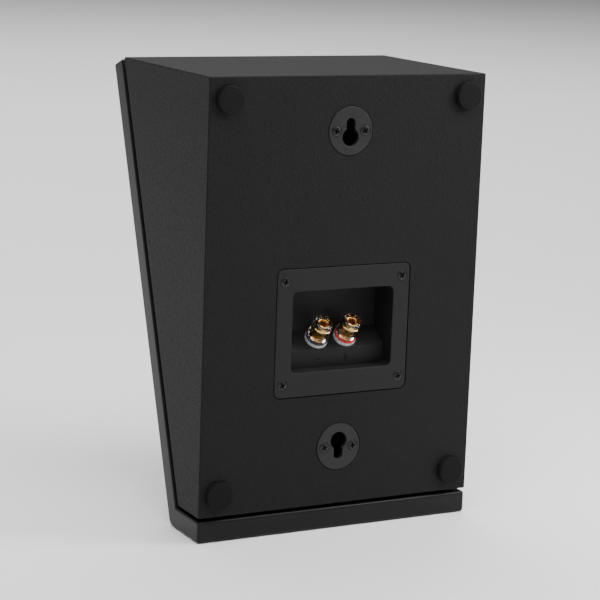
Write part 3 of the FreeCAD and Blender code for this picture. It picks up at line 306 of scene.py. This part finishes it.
def relief(tree, shader, height, depth, under=None):
    """Bump of a depth in millimetres."""
    item = add(tree, "ShaderNodeBump", Height=height, Distance=depth * MM, Strength=1.0)
    if under:
        tree.links.new(under, item.inputs["Normal"])
    tree.links.new(item.outputs["Normal"], shader.inputs["Normal"])
    return item.outputs["Normal"]


def tint(colour, factor):
    """Colour made lighter or darker."""
    return tuple(min(1.0, channel * factor) for channel in colour)


ROUGH_SPREAD = 0.08
TURNED_LINES = 260.0


def surface(name, colour, rough, spread, patch, grain, depth, metallic=0.0, specular=0.5,
            detail=3.0, turned_axis=None):
    """Common base: cloudy colour, uneven roughness and a fine grain that catches light."""
    material, tree, shader, place = blank(name)
    patches = clouds(tree, place, patch, 4.0)
    fine = clouds(tree, place, grain, detail, 0.6)
    mixed = weighted(tree, patches, 0.55, fine, 0.45)
    tone = ramp(tree, mixed, (0.3, tint(colour, 1 - spread)), (0.7, tint(colour, 1 + spread)))
    tree.links.new(tone, shader.inputs["Base Color"])
    uneven = ramp(tree, patches, (0.3, max(0.02, rough - ROUGH_SPREAD)),
                  (0.7, min(1.0, rough + ROUGH_SPREAD)))
    tree.links.new(uneven, shader.inputs["Roughness"])
    shader.inputs["Metallic"].default_value = metallic
    shader.inputs["Specular IOR Level"].default_value = specular
    height = fine
    if turned_axis is not None:
        local = add(tree, "ShaderNodeMapping", {"vector_type": "TEXTURE"}, Vector=place,
                    Location=turned_axis.to_translation(), Rotation=turned_axis.to_euler()).outputs[0]
        lines = add(tree, "ShaderNodeTexWave", {"wave_type": "RINGS", "rings_direction": "Z"},
                    Vector=local, Scale=TURNED_LINES, Distortion=0.6, Detail=1.0).outputs["Fac"]
        height = weighted(tree, lines, 0.7, fine, 0.3)
    relief(tree, shader, height, depth)
    return material


def cabinet_vinyl():
    """Matte black wrap with a fine pebbled grain."""
    material, tree, shader, place = blank("cabinet_wrap")
    pebbles = add(tree, "ShaderNodeTexVoronoi", {"feature": "SMOOTH_F1"}, Vector=place, Scale=800.0,
                  Smoothness=0.6).outputs["Distance"]
    fine = clouds(tree, place, 1900.0, 3.0, 0.65)
    patches = clouds(tree, place, 14.0, 3.0)
    grain = weighted(tree, pebbles, 0.7, fine, 0.5)
    speck = weighted(tree, grain, 0.8, patches, 0.2)
    tone = ramp(tree, speck, (0.3, (0.0045, 0.0043, 0.0044)), (0.75, (0.0105, 0.01, 0.0101)))
    tree.links.new(tone, shader.inputs["Base Color"])
    tree.links.new(ramp(tree, speck, (0.3, 0.5), (0.75, 0.66)), shader.inputs["Roughness"])
    shader.inputs["Specular IOR Level"].default_value = 0.15
    relief(tree, shader, grain, 0.22)
    return material


def fascia_lacquer():
    """Satin black lacquer with a faint orange peel."""
    material, tree, shader, place = blank("fascia_lacquer")
    peel = clouds(tree, place, 380.0, 2.0)
    dust = clouds(tree, place, 2600.0, 2.0)
    patches = clouds(tree, place, 9.0, 3.0)
    tree.links.new(ramp(tree, patches, (0.3, (0.005, 0.005, 0.0052)), (0.7, (0.008, 0.0078, 0.0079))),
                   shader.inputs["Base Color"])
    tree.links.new(ramp(tree, dust, (0.35, 0.33), (0.7, 0.42)), shader.inputs["Roughness"])
    shader.inputs["Specular IOR Level"].default_value = 0.16
    shader.inputs["Coat Weight"].default_value = 0.05
    shader.inputs["Coat Roughness"].default_value = 0.3
    first = relief(tree, shader, peel, 0.02)
    relief(tree, shader, dust, 0.006, under=first)
    return material


def clear_plastic(name, colour, rough, haze, clear):
    """Clear moulded plastic with slight flow marks; clear is the share of light that passes through."""
    material, tree, shader, place = blank(name)
    flow = clouds(tree, place, 320.0, 3.0)
    tree.links.new(ramp(tree, flow, (0.3, tint(colour, 0.9)), (0.7, colour)), shader.inputs["Base Color"])
    tree.links.new(ramp(tree, flow, (0.3, rough), (0.75, rough + haze)), shader.inputs["Roughness"])
    shader.inputs["Transmission Weight"].default_value = clear
    shader.inputs["IOR"].default_value = 1.5
    relief(tree, shader, flow, 0.015)
    return material


def gold_plate():
    """Gold-plated brass with fine turning marks and slight tarnish."""
    material, tree, shader, place = blank("gold_plate")
    patches = clouds(tree, place, 260.0, 4.0)
    stretched = add(tree, "ShaderNodeMapping", Vector=place, Scale=(1.0, 1.0, 14.0)).outputs[0]
    marks = clouds(tree, stretched, 700.0, 3.0)
    tree.links.new(ramp(tree, patches, (0.3, (0.8, 0.42, 0.08)), (0.55, (0.98, 0.62, 0.18)),
                        (0.8, (1.0, 0.74, 0.32))), shader.inputs["Base Color"])
    tree.links.new(ramp(tree, marks, (0.3, 0.12), (0.8, 0.28)), shader.inputs["Roughness"])
    shader.inputs["Metallic"].default_value = 1.0
    relief(tree, shader, marks, 0.02)
    return material


def woven(name, colour, spread, threads, rough, depth, sheen=0.0):
    """Cloth of two crossing thread directions."""
    material, tree, shader, place = blank(name)
    warp = add(tree, "ShaderNodeTexWave", {"bands_direction": "X"}, Vector=place, Scale=threads,
               Distortion=0.8, Detail=1.0).outputs["Fac"]
    weft = add(tree, "ShaderNodeTexWave", {"bands_direction": "Y"}, Vector=place, Scale=threads,
               Distortion=0.8, Detail=1.0).outputs["Fac"]
    weave = calc(tree, "MULTIPLY", calc(tree, "ADD", warp, weft), 0.5)
    patches = clouds(tree, place, 120.0, 3.0)
    mixed = weighted(tree, weave, 0.6, patches, 0.4)
    tree.links.new(ramp(tree, mixed, (0.25, tint(colour, 1 - spread)), (0.75, tint(colour, 1 + spread))),
                   shader.inputs["Base Color"])
    tree.links.new(ramp(tree, patches, (0.3, rough - 0.08), (0.7, rough + 0.06)), shader.inputs["Roughness"])
    shader.inputs["Sheen Weight"].default_value = sheen
    shader.inputs["Sheen Roughness"].default_value = 0.5
    relief(tree, shader, weave, depth)
    return material


# Phase of the wave texture, in radians, over one unit at scale 1.
WAVE_PHASE = 20


def wound_wire(name, colour, place_frame, radian):
    """Enamelled wire in even turns about an axis; a turn is 2 pi radians of this many millimetres."""
    material, tree, shader, place = blank(name)
    local = add(tree, "ShaderNodeMapping", {"vector_type": "TEXTURE"}, Vector=place,
                Location=place_frame.to_translation(), Rotation=place_frame.to_euler()).outputs[0]
    turns = add(tree, "ShaderNodeTexWave", {"bands_direction": "Z", "wave_profile": "SIN"}, Vector=local,
                Scale=1000.0 / (radian * WAVE_PHASE), Distortion=0.1).outputs["Fac"]
    patches = clouds(tree, place, 150.0, 3.0)
    # The colour is painted darker in the grooves between turns and lighter on their crests: painted shade and
    # painted highlight over the copper's own colour.
    tree.links.new(ramp(tree, turns, (0.0, tint(colour, 0.35)), (0.5, colour), (1.0, tint(colour, 1.25))),
                   shader.inputs["Base Color"])
    tree.links.new(ramp(tree, patches, (0.3, 0.22), (0.7, 0.36)), shader.inputs["Roughness"])
    shader.inputs["Metallic"].default_value = 1.0
    relief(tree, shader, turns, 0.15)
    return material


WOOFER = node_frame("woofer_trim_ring", FRONT_AXIS)
TWEETER = node_frame("tweeter_faceplate", FRONT_AXIS)
INDUCTOR = node_frame("crossover_inductors", UP)

# Colour, roughness, colour spread, patches and grains per metre, grain depth in millimetres, the rest.
SURFACES = {
    "fibreboard": ((0.3, 0.2, 0.115), 0.85, 0.3, 60, 1800, 0.12, {"specular": 0.2}),
    "spacer_black": ((0.006, 0.006, 0.006), 0.8, 0.3, 40, 1500, 0.06, {"specular": 0.15}),
    "driver_metal": ((0.014, 0.014, 0.015), 0.45, 0.25, 45, 1400, 0.05, {"specular": 0.4}),
    "foam": ((0.02, 0.02, 0.021), 0.95, 0.4, 200, 2600, 0.25, {"specular": 0.1, "detail": 5}),
    "trim_rubber": ((0.014, 0.014, 0.0145), 0.62, 0.2, 60, 1700, 0.03, {"specular": 0.35}),
    "surround_rubber": ((0.011, 0.011, 0.0115), 0.42, 0.2, 35, 1300, 0.02, {"specular": 0.45}),
    "cone": ((0.019, 0.019, 0.0205), 0.48, 0.35, 90, 2300, 0.03,
             {"specular": 0.45, "turned_axis": Matrix.Identity(4)}),
    "dust_cap": ((0.014, 0.014, 0.015), 0.36, 0.2, 60, 1800, 0.015, {"specular": 0.5}),
    "former": ((0.6, 0.6, 0.62), 0.35, 0.15, 80, 1500, 0.02, {"metallic": 1.0, "turned_axis": WOOFER}),
    "zinc_steel": ((0.5, 0.5, 0.51), 0.38, 0.18, 120, 1100, 0.03, {"metallic": 1.0, "turned_axis": WOOFER}),
    "ferrite": ((0.035, 0.036, 0.04), 0.55, 0.35, 160, 2000, 0.08, {"specular": 0.5}),
    "tag_metal": ((0.72, 0.69, 0.6), 0.3, 0.15, 300, 2200, 0.02, {"metallic": 1.0}),
    "screw_black": ((0.022, 0.022, 0.023), 0.36, 0.35, 500, 3200, 0.015, {"metallic": 0.7}),
    "tweeter_plate": ((0.013, 0.013, 0.0135), 0.5, 0.25, 50, 2100, 0.03, {"specular": 0.4}),
    "chamber_plastic": ((0.03, 0.03, 0.031), 0.6, 0.2, 70, 1500, 0.03, {}),
    "cup_plastic": ((0.0088, 0.0087, 0.0088), 0.6, 0.22, 35, 2300, 0.035, {"specular": 0.24}),
    "keyhole_metal": ((0.0095, 0.0095, 0.0097), 0.52, 0.3, 120, 2000, 0.04, {"specular": 0.33}),
    "pad_rubber": ((0.0055, 0.0055, 0.0056), 0.82, 0.3, 160, 2400, 0.06, {"specular": 0.16}),
    "nylon": ((0.75, 0.74, 0.68), 0.45, 0.1, 150, 1700, 0.02, {}),
    "board_resin": ((0.3, 0.22, 0.09), 0.55, 0.3, 110, 900, 0.03, {}),
    "capacitor_sleeve": ((0.05, 0.07, 0.28), 0.3, 0.2, 90, 1300, 0.02, {}),
    "resistor_ceramic": ((0.72, 0.7, 0.63), 0.8, 0.12, 220, 2000, 0.08, {}),
    "wadding": ((0.72, 0.72, 0.69), 0.95, 0.18, 90, 1500, 0.9, {"specular": 0.1, "detail": 6}),
    "wire_sleeve": ((0.32, 0.02, 0.018), 0.4, 0.2, 120, 1500, 0.01, {}),
    "ring_black": ((0.012, 0.012, 0.013), 0.3, 0.2, 200, 1800, 0.02, {}),
    "ring_red": ((0.5, 0.018, 0.014), 0.3, 0.25, 200, 1800, 0.02, {}),
}

paint = {
    "cabinet_wrap": cabinet_vinyl(),
    "fascia_lacquer": fascia_lacquer(),
    "gold_brass": gold_plate(),
    "clear_ring": clear_plastic("clear_ring", (0.85, 0.85, 0.86), 0.2, 0.15, 0.35),
    "clear_knob": clear_plastic("clear_knob", (1.0, 0.99, 0.97), 0.01, 0.02, 1.0),
    "copper": wound_wire("copper", (0.75, 0.3, 0.12), INDUCTOR, 0.6),
    "dome_fabric": woven("dome_fabric", (0.016, 0.016, 0.018), 0.4, 900.0, 0.75, 0.05, 0.3),
    "spider_cloth": woven("spider_cloth", (0.5, 0.3, 0.1), 0.3, 420.0, 0.8, 0.15),
}
for slot_name, (*values, further) in SURFACES.items():
    paint[slot_name] = surface(slot_name, *values, **further)
slot_of = {entry["node"]: entry["material_slot"] for entry in frame["record"]["subparts"]}

for node_name in nodes:
    dress(node_name, paint[slot_of[node_name]])


# ---------------------------------------------------------------- screws

SCREW_HEAD_HEIGHT = 2.2
SCREW_SHANK_SHARE = 0.48
THREAD_PITCH = 1.1
THREAD_ROOT = 0.72


def screw_mesh(head_radius, shank_radius, length):
    """Raised countersunk screw with a cross recess; level 0 is the face that it is set in."""
    radius = head_radius * 0.93
    body = soften([(0, 0.34), (radius * 0.6, 0.26), (radius * 0.93, 0.02), (radius, -0.3),
                   (shank_radius, -SCREW_HEAD_HEIGHT)], 0.22, 4)
    level = -SCREW_HEAD_HEIGHT - 0.3
    while level - THREAD_PITCH > -length + 1.2:
        body.append((shank_radius, level - 0.25 * THREAD_PITCH))
        body.append((shank_radius * THREAD_ROOT, level - 0.6 * THREAD_PITCH))
        body.append((shank_radius * THREAD_ROOT, level - 0.85 * THREAD_PITCH))
        level -= THREAD_PITCH
    body += [(shank_radius * 0.8, level - 0.1), (0, -length)]
    build = lathe(body, segments=64)
    bmesh.ops.recalc_face_normals(build, faces=build.faces)
    item = loose_object("screw_master", build)
    cutter = loose_object("cross_cutter", cross_prism(radius))
    hollow = item.modifiers.new("Recess", "BOOLEAN")
    hollow.operation = "DIFFERENCE"
    hollow.solver = "EXACT"
    hollow.object = cutter
    bpy.context.view_layer.update()
    graph = bpy.context.evaluated_depsgraph_get()
    result = bpy.data.meshes.new_from_object(item.evaluated_get(graph))
    bpy.data.objects.remove(item)
    bpy.data.objects.remove(cutter)
    return result


def loose_object(name, build):
    """Helper object that is removed again once its shape has been used."""
    mesh = bpy.data.meshes.new(name)
    build.to_mesh(mesh)
    build.free()
    return linked(name, mesh)


def cross_prism(radius):
    """Tapered cross that narrows towards its tip."""
    build = bmesh.new()
    levels = []
    for level, along, across in ((0.6, 0.62, 0.15), (-0.9, 0.5, 0.12), (-1.7, 0.2, 0.07)):
        ring = []
        for turn in range(4):
            spin = Matrix.Rotation(math.radians(90 * turn), 3, "Z")
            for x, y in ((along, -across), (along, across), (across, across)):
                ring.append(build.verts.new(spin @ Vector((x * radius, y * radius, level)) * MM))
        levels.append(ring)
    for low, high in zip(levels, levels[1:]):
        for step in range(len(low)):
            after = (step + 1) % len(low)
            build.faces.new((low[step], low[after], high[after], high[step]))
    build.faces.new(levels[0])
    build.faces.new(levels[-1])
    bmesh.ops.recalc_face_normals(build, faces=build.faces)
    return build


def set_screws(node_name, axis, turns):
    """Detailed screws in place of the CAD node's plain ones."""
    groups = solids(node_name)
    places = [axis_frame(group, axis) for group in groups]
    low = axis_frame(groups[0], axis, "low").to_translation()
    length = (places[0].to_translation() - low).length / MM
    head = max((point - places[0].to_translation()).cross(axis).length for point in groups[0]) / MM
    master = screw_mesh(head, head * SCREW_SHANK_SHARE, length)
    joined = bmesh.new()
    for index, place in enumerate(places):
        spin = Matrix.Rotation(math.radians(turns[index % len(turns)]), 4, "Z")
        copy = master.copy()
        copy.transform(place @ spin)
        joined.from_mesh(copy)
        bpy.data.meshes.remove(copy)
    bpy.data.meshes.remove(master)
    item = piece(node_name + "_detailed", joined, Matrix.Identity(4), "cabinet", "screw_black")
    item.data.set_sharp_from_angle(angle=SCREW_CRISP_ANGLE)
    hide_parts(node_name)


SCREW_TURNS = (12, 38, 71, 25, 54, 83)
set_screws("terminal_screws", REAR, SCREW_TURNS)
set_screws("keyhole_screws", REAR, SCREW_TURNS)
set_screws("woofer_screws", FRONT_AXIS, SCREW_TURNS)
set_screws("tweeter_screws", FRONT_AXIS, SCREW_TURNS)


# ---------------------------------------------------------------- rubber pads

def rubber_pads():
    """Four round pads with a rolled rim and a slightly crowned face."""
    joined = bmesh.new()
    for group in solids("rubber_pads"):
        place = axis_frame(group, REAR, "low")
        foot = place.to_translation()
        radius = max((point - foot).cross(REAR).length for point in group) / MM
        height = (axis_frame(group, REAR).to_translation() - foot).length / MM
        outline = [(0, height), (radius - 2.4, height), (radius - 2.0, height - 0.22),
                   (radius - 1.6, height - 0.05), (radius - 0.5, height - 0.2), (radius, height * 0.55),
                   (radius, 0), (0, 0)]
        merge(joined, lathe(soften(outline, 0.5, 4)), place)
    item = piece("rubber_pads_moulded", joined, Matrix.Identity(4), "cabinet", "pad_rubber")
    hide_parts("rubber_pads")


rubber_pads()


# ---------------------------------------------------------------- binding posts

def binding_post(sign):
    """Clear knob over a knurled gold core, on a coloured ring; level 0 is the shelf under the post."""
    base = post_base(sign)
    colour = "ring_black" if sign == "negative" else "ring_red"
    band = [(3.4, 2.2), (6.75, 2.2), (6.8, 2.8), (6.5, 3.38), (3.4, 3.4)]
    turned = lathe(soften(band, 0.25, 3, True), True)
    item = piece(f"post_{sign}_colour_ring_moulded", turned, base, "cabinet", colour)
    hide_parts(f"post_{sign}_colour_ring")
    washer = [(3.4, 3.45), (5.5, 3.45), (5.6, 3.8), (5.5, 4.15), (3.4, 4.15)]
    item = piece(f"post_{sign}_washer_turned", lathe(soften(washer, 0.15, 3, True), True), base,
                 f"{sign}_washer", "gold_brass")
    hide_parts(f"post_{sign}_washer")
    core = [(3.05, 4.25), (4.4, 4.25), (4.4, 11.6), (3.95, 12.1), (3.95, 14.5), (3.7, 14.8), (3.05, 14.8)]
    turned = lathe(soften(core, 0.2, 3, True), True, FLUTED_SEGMENTS, knurl)
    item = piece(f"post_{sign}_knob_insert_knurled", turned, base, f"{sign}_knob", "gold_brass")
    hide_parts(f"post_{sign}_knob_insert")
    knob = [(4.55, 4.3), (6.3, 4.3), (6.4, 5.0), (6.4, 6.3), (6.02, 6.9), (5.8, 15.2), (5.2, 16.0),
            (3.7, 16.0), (3.45, 15.4), (4.1, 15.1), (4.15, 12.2), (4.55, 11.8)]
    turned = lathe(soften(knob, 0.45, 4, True), True, FLUTED_SEGMENTS, flutes)
    item = piece(f"post_{sign}_knob_clear", turned, base, f"{sign}_knob", "clear_knob")
    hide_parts(f"post_{sign}_knob")


def post_base(sign):
    """Frame where a post stands on its shelf, Z along the post."""
    left_first = sorted(solids("post_base_rings"), key=lambda group: -sum(point.x for point in group))
    group = left_first[0] if sign == "negative" else left_first[-1]
    return axis_frame(group, POST_AXIS, "low")


def base_rings():
    """The two clear rings that the posts stand on."""
    joined = bmesh.new()
    ring = [(3.4, 0), (7.0, 0), (7.0, 1.7), (6.3, 2.2), (3.4, 2.2)]
    for sign in ("negative", "positive"):
        merge(joined, lathe(soften(ring, 0.35, 3, True), True), post_base(sign))
    item = piece("post_base_rings_clear", joined, Matrix.Identity(4), "cabinet", "clear_ring")
    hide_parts("post_base_rings")


KNURL_DEPTH = 0.07
KNURL_TEETH = 24
FLUTE_DEPTH = 0.12
FLUTE_COUNT = 12


def knurl(radius, level, angle):
    """Straight knurling on the gold core's waist."""
    if radius <= 4 or not 4.6 < level < 11.4:
        return 0
    return KNURL_DEPTH * math.cos(KNURL_TEETH * angle) - KNURL_DEPTH


def flutes(radius, level, angle):
    """Shallow finger flutes round the clear knob."""
    if radius < 5 or not 7.0 < level < 15.0:
        return 0
    return -FLUTE_DEPTH * max(0.0, math.cos(FLUTE_COUNT * angle)) ** 2


base_rings()
for sign_name in ("negative", "positive"):
    binding_post(sign_name)


# ---------------------------------------------------------------- drivers

FLEX_SECTORS = 24
FLEX_STEPS = 6
COIL_RADIUS = 12.85
CONE_RADIUS = 46.2
CONE_FLOOR = -21.0
CONE_TOP = -2.1
CONE_SHEET = 0.8
SPIDER_RADIUS = 46.8
SPIDER_LEVEL = -23.6
SPIDER_SHEET = 0.6
SPIDER_WAVES = 6
ROLL_HEIGHT_SHARE = 0.92


def half_roll(inner, outer, lip_in, lip_out, level, sheet, steps=20):
    """Closed outline of a half-roll edge with a flat lip on each side."""
    middle = (inner + outer) / 2
    reach = (outer - inner) / 2
    top = []
    under = []
    for step in range(steps + 1):
        angle = math.pi * step / steps
        inside = reach - sheet
        top.append((middle - reach * math.cos(angle),
                    level + sheet + reach * ROLL_HEIGHT_SHARE * math.sin(angle)))
        under.append((middle - inside * math.cos(angle),
                      level + inside * ROLL_HEIGHT_SHARE * math.sin(angle)))
    lips = [(lip_out, level + sheet), (lip_out, level)]
    return [(lip_in, level), (lip_in, level + sheet)] + top + lips + under[::-1]


def outline_normals(outline):
    """Direction square to a closed outline at each of its points."""
    count = len(outline)
    area = sum(outline[index - 1][0] * outline[index][1] - outline[index][0] * outline[index - 1][1]
               for index in range(count))
    side = 1 if area > 0 else -1
    result = []
    for index in range(count):
        along = Vector(outline[(index + 1) % count]) - Vector(outline[index - 1])
        result.append(Vector((along.y, -along.x)).normalized() * side)
    return result


def flexing_ring(name, node_name, outline, place):
    """Turned ring in narrow sectors, each its own object.

    Every point takes its normal from the outline's direction there, so neighbouring sectors shade alike where
    their edges meet.
    """
    directions = outline_normals(outline)
    slot_name = slot_of[node_name]
    for sector in range(FLEX_SECTORS):
        build = bmesh.new()
        normals = []
        rings = []
        for step in range(FLEX_STEPS + 1):
            angle = 2 * math.pi * (sector + step / FLEX_STEPS) / FLEX_SECTORS
            across = Vector((math.cos(angle), math.sin(angle), 0))
            rings.append([build.verts.new((across * radius + Vector((0, 0, level))) * MM)
                          for radius, level in outline])
            normals += [across * way.x + Vector((0, 0, way.y)) for way in directions]
        for first, second in zip(rings, rings[1:]):
            for index in range(len(outline)):
                after = (index + 1) % len(outline)
                build.faces.new((first[index], second[index], second[after], first[after]))
        mesh = bpy.data.meshes.new(f"{name}_{sector:02d}")
        build.to_mesh(mesh)
        build.free()
        if mesh.polygons[0].normal.dot(normals[0]) < 0:
            mesh.flip_normals()
        mesh.shade_smooth()
        mesh.normals_split_custom_set_from_vertices(normals)
        mesh.materials.append(paint[slot_name])
        item = linked(mesh.name, mesh)
        item.matrix_world = place
        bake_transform(item)
        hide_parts(node_name)


def woofer_skin():
    """Moving and soft parts of the woofer, seen from the front."""
    roll = half_roll(46.7, 54.8, 43.7, 60.3, -2.0, 0.8)
    flexing_ring("woofer_surround_rubber", "woofer_surround", soften(roll, 0.2, 2, True), WOOFER)
    trim = [(55.6, -1.2), (60.5, -1.2), (60.5, -0.5), (60.0, -0.1), (58.6, -0.1), (57.8, -0.35), (56.2, -0.4),
            (55.6, -0.8)]
    turned = lathe(soften(trim, 0.2, 3, True), True, WIDE_SEGMENTS)
    item = piece("woofer_trim_ring_moulded", turned, WOOFER, "cabinet", "trim_rubber")
    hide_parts("woofer_trim_ring")
    cone = cone_outline()
    item = piece("woofer_cone_pressed", lathe(cone, True, WIDE_SEGMENTS), WOOFER, "woofer_moving", "cone")
    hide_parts("woofer_cone")
    cap = cap_outline(18, 6, -17, 0.8)
    item = piece("woofer_dust_cap_pressed", lathe(cap, False, 96), WOOFER, "woofer_moving", "dust_cap")
    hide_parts("woofer_dust_cap")
    flexing_ring("woofer_spider_cloth", "woofer_spider", spider_outline(), WOOFER)


def sheet_of(top, thickness):
    """Outline of a sheet from its upper line, out along the top and back underneath."""
    return top + [(radius, level - thickness) for radius, level in reversed(top)]


def cone_outline():
    """Slightly curved cone with three shallow pressed rings."""
    steps = 60
    top = []
    for step in range(steps + 1):
        share = step / steps
        radius = COIL_RADIUS + (CONE_RADIUS - COIL_RADIUS) * share
        level = CONE_FLOOR + (CONE_TOP - CONE_FLOOR) * (share + 0.10 * share * (1 - share))
        for place in (0.45, 0.62, 0.79):
            level += 0.28 * math.exp(-((share - place) / 0.022) ** 2)
        top.append((radius, level))
    return sheet_of(top, CONE_SHEET)


def cap_outline(radius, rise, level, sheet, steps=18):
    """Shallow dome of even thickness, from its crown out and back."""
    ball = (radius ** 2 + rise ** 2) / (2 * rise)
    top = []
    for step in range(steps + 1):
        across = radius * step / steps
        top.append((across, level + math.sqrt(ball ** 2 - across ** 2) - ball + rise))
    return sheet_of(top, sheet)


def spider_outline():
    """Corrugated cloth disc."""
    steps = 96
    top = []
    for step in range(steps + 1):
        share = step / steps
        radius = COIL_RADIUS + (SPIDER_RADIUS - COIL_RADIUS) * share
        fade = min(1.0, share / 0.1, (1 - share) / 0.2)
        top.append((radius, SPIDER_LEVEL + 0.6 * fade * math.sin(2 * math.pi * SPIDER_WAVES * share)))
    return sheet_of(top, SPIDER_SHEET)


def tweeter_skin():
    """Dome with its small roll edge."""
    crown = cap_outline(12.9, 5.5, -5.6, 0.4, 24)
    item = piece("tweeter_dome_silk", lathe(crown, False, 96), TWEETER, "tweeter_moving", "dome_fabric")
    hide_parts("tweeter_dome")
    roll = half_roll(13.1, 16.3, 12.95, 18.5, -6.4, 0.4, 12)
    flexing_ring("tweeter_surround_silk", "tweeter_surround", roll, TWEETER)


woofer_skin()
tweeter_skin()


# ---------------------------------------------------------------- wadding

WADDING_CUTS = 24
LUMPS_PER_METRE = 45
LUMP_HEIGHT = 0.0016


def wadding():
    """Loose fibre pad: a crowned block with a lumpy surface."""
    low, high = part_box("damping_wadding")
    middle = (low + high) / 2
    half = (high - low) / 2
    build = bmesh.new()
    bmesh.ops.create_cube(build, size=2)
    bmesh.ops.subdivide_edges(build, edges=build.edges[:], cuts=WADDING_CUTS, use_grid_fill=True)
    for vertex in build.verts:
        x, y, z = vertex.co
        pinch = 1 - 0.10 * (abs(x) ** 6 + abs(z) ** 6) * (1 - 0.4 * abs(y))
        crown = 1 - 0.35 * max(abs(x), abs(z)) ** 8
        place = Vector((x * half.x * 0.95 * pinch, y * half.y * 0.72 * crown, z * half.z * 0.95 * pinch))
        lump = noise.fractal(place * LUMPS_PER_METRE, 1.0, 2.0, 4) * LUMP_HEIGHT
        direction = Vector((x * 0.3, y, z * 0.3))
        vertex.co = place + direction.normalized() * lump
    item = piece("damping_wadding_fibre", build, Matrix.Translation(middle), "cabinet", "wadding")
    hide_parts("damping_wadding")


wadding()


# ---------------------------------------------------------------- stage, light and camera

FLOOR_SIZE = 12
FLOOR_GAP = 0.0002


def stage_floor():
    """Pale seamless floor under the base."""
    low = cad_box[0]
    material, tree, shader, place = blank("stage_floor")
    patches = clouds(tree, place, 1.5, 3.0)
    tree.links.new(ramp(tree, patches, (0.3, (0.93, 0.93, 0.93)), (0.7, (0.96, 0.96, 0.96))),
                   shader.inputs["Base Color"])
    shader.inputs["Roughness"].default_value = 0.85
    build = bmesh.new()
    bmesh.ops.create_grid(build, x_segments=8, y_segments=8, size=FLOOR_SIZE)
    mesh = bpy.data.meshes.new("stage_floor")
    build.to_mesh(mesh)
    build.free()
    mesh.materials.append(material)
    item = linked("stage_floor", mesh)
    item.location = (0, 0, low[2] - FLOOR_GAP)


def softbox(name, place, aim, width, height, power):
    """Soft rectangular light turned towards a point."""
    light = bpy.data.lights.new(name, "AREA")
    light.shape = "RECTANGLE"
    light.size = width
    light.size_y = height
    light.energy = power
    item = linked(name, light)
    item.location = place
    item.rotation_euler = (Vector(aim) - Vector(place)).to_track_quat("-Z", "Y").to_euler()


CAMERA_PLACE = Vector((0.5728, 1.0318, 0.1415))
CAMERA_FORWARD = Vector((-0.4571, -0.8672, -0.1976))
CAMERA_UP = Vector((-0.0604, -0.1914, 0.9797))
CAMERA_LENS = 123.8
SENSOR_WIDTH = 36
CLIP_START = 0.05
CLIP_END = 60
WORLD_COLOUR = (1.0, 0.99, 0.985, 1)
WORLD_STRENGTH = 0.16
# Name, place, aim, width, height, power in watts.
LIGHTS = (
    ("overhead_light", (0.4, 1.1, 2.6), (0, 0.2, -0.2), 2.6, 2.2, 95),
    ("backdrop_light", (-0.7, -2.2, 2.7), (-1.0, -2.0, -0.23), 3.0, 2.4, 110),
    ("side_light", (1.7, -1.3, 0.3), (0.0, -0.05, -0.18), 1.0, 0.9, 9),
    ("rear_light", (-0.42, 0.24, 0.28), (-0.06, 0, 0.0), 0.25, 0.45, 3.6),
)

stage_floor()
world = bpy.data.worlds.new("studio")
bpy.context.scene.world = world
world.use_nodes = True
world.node_tree.nodes["Background"].inputs["Color"].default_value = WORLD_COLOUR
world.node_tree.nodes["Background"].inputs["Strength"].default_value = WORLD_STRENGTH
for light_settings in LIGHTS:
    softbox(*light_settings)

camera = linked("camera", bpy.data.cameras.new("camera"))
camera.data.lens = CAMERA_LENS
camera.data.sensor_width = SENSOR_WIDTH
camera.data.clip_start = CLIP_START
camera.data.clip_end = CLIP_END
right = CAMERA_FORWARD.cross(CAMERA_UP).normalized()
up = right.cross(CAMERA_FORWARD).normalized()
turn = Matrix((right, up, -CAMERA_FORWARD.normalized())).transposed().to_4x4()
camera.matrix_world = Matrix.Translation(CAMERA_PLACE) @ turn
bpy.context.scene.camera = camera
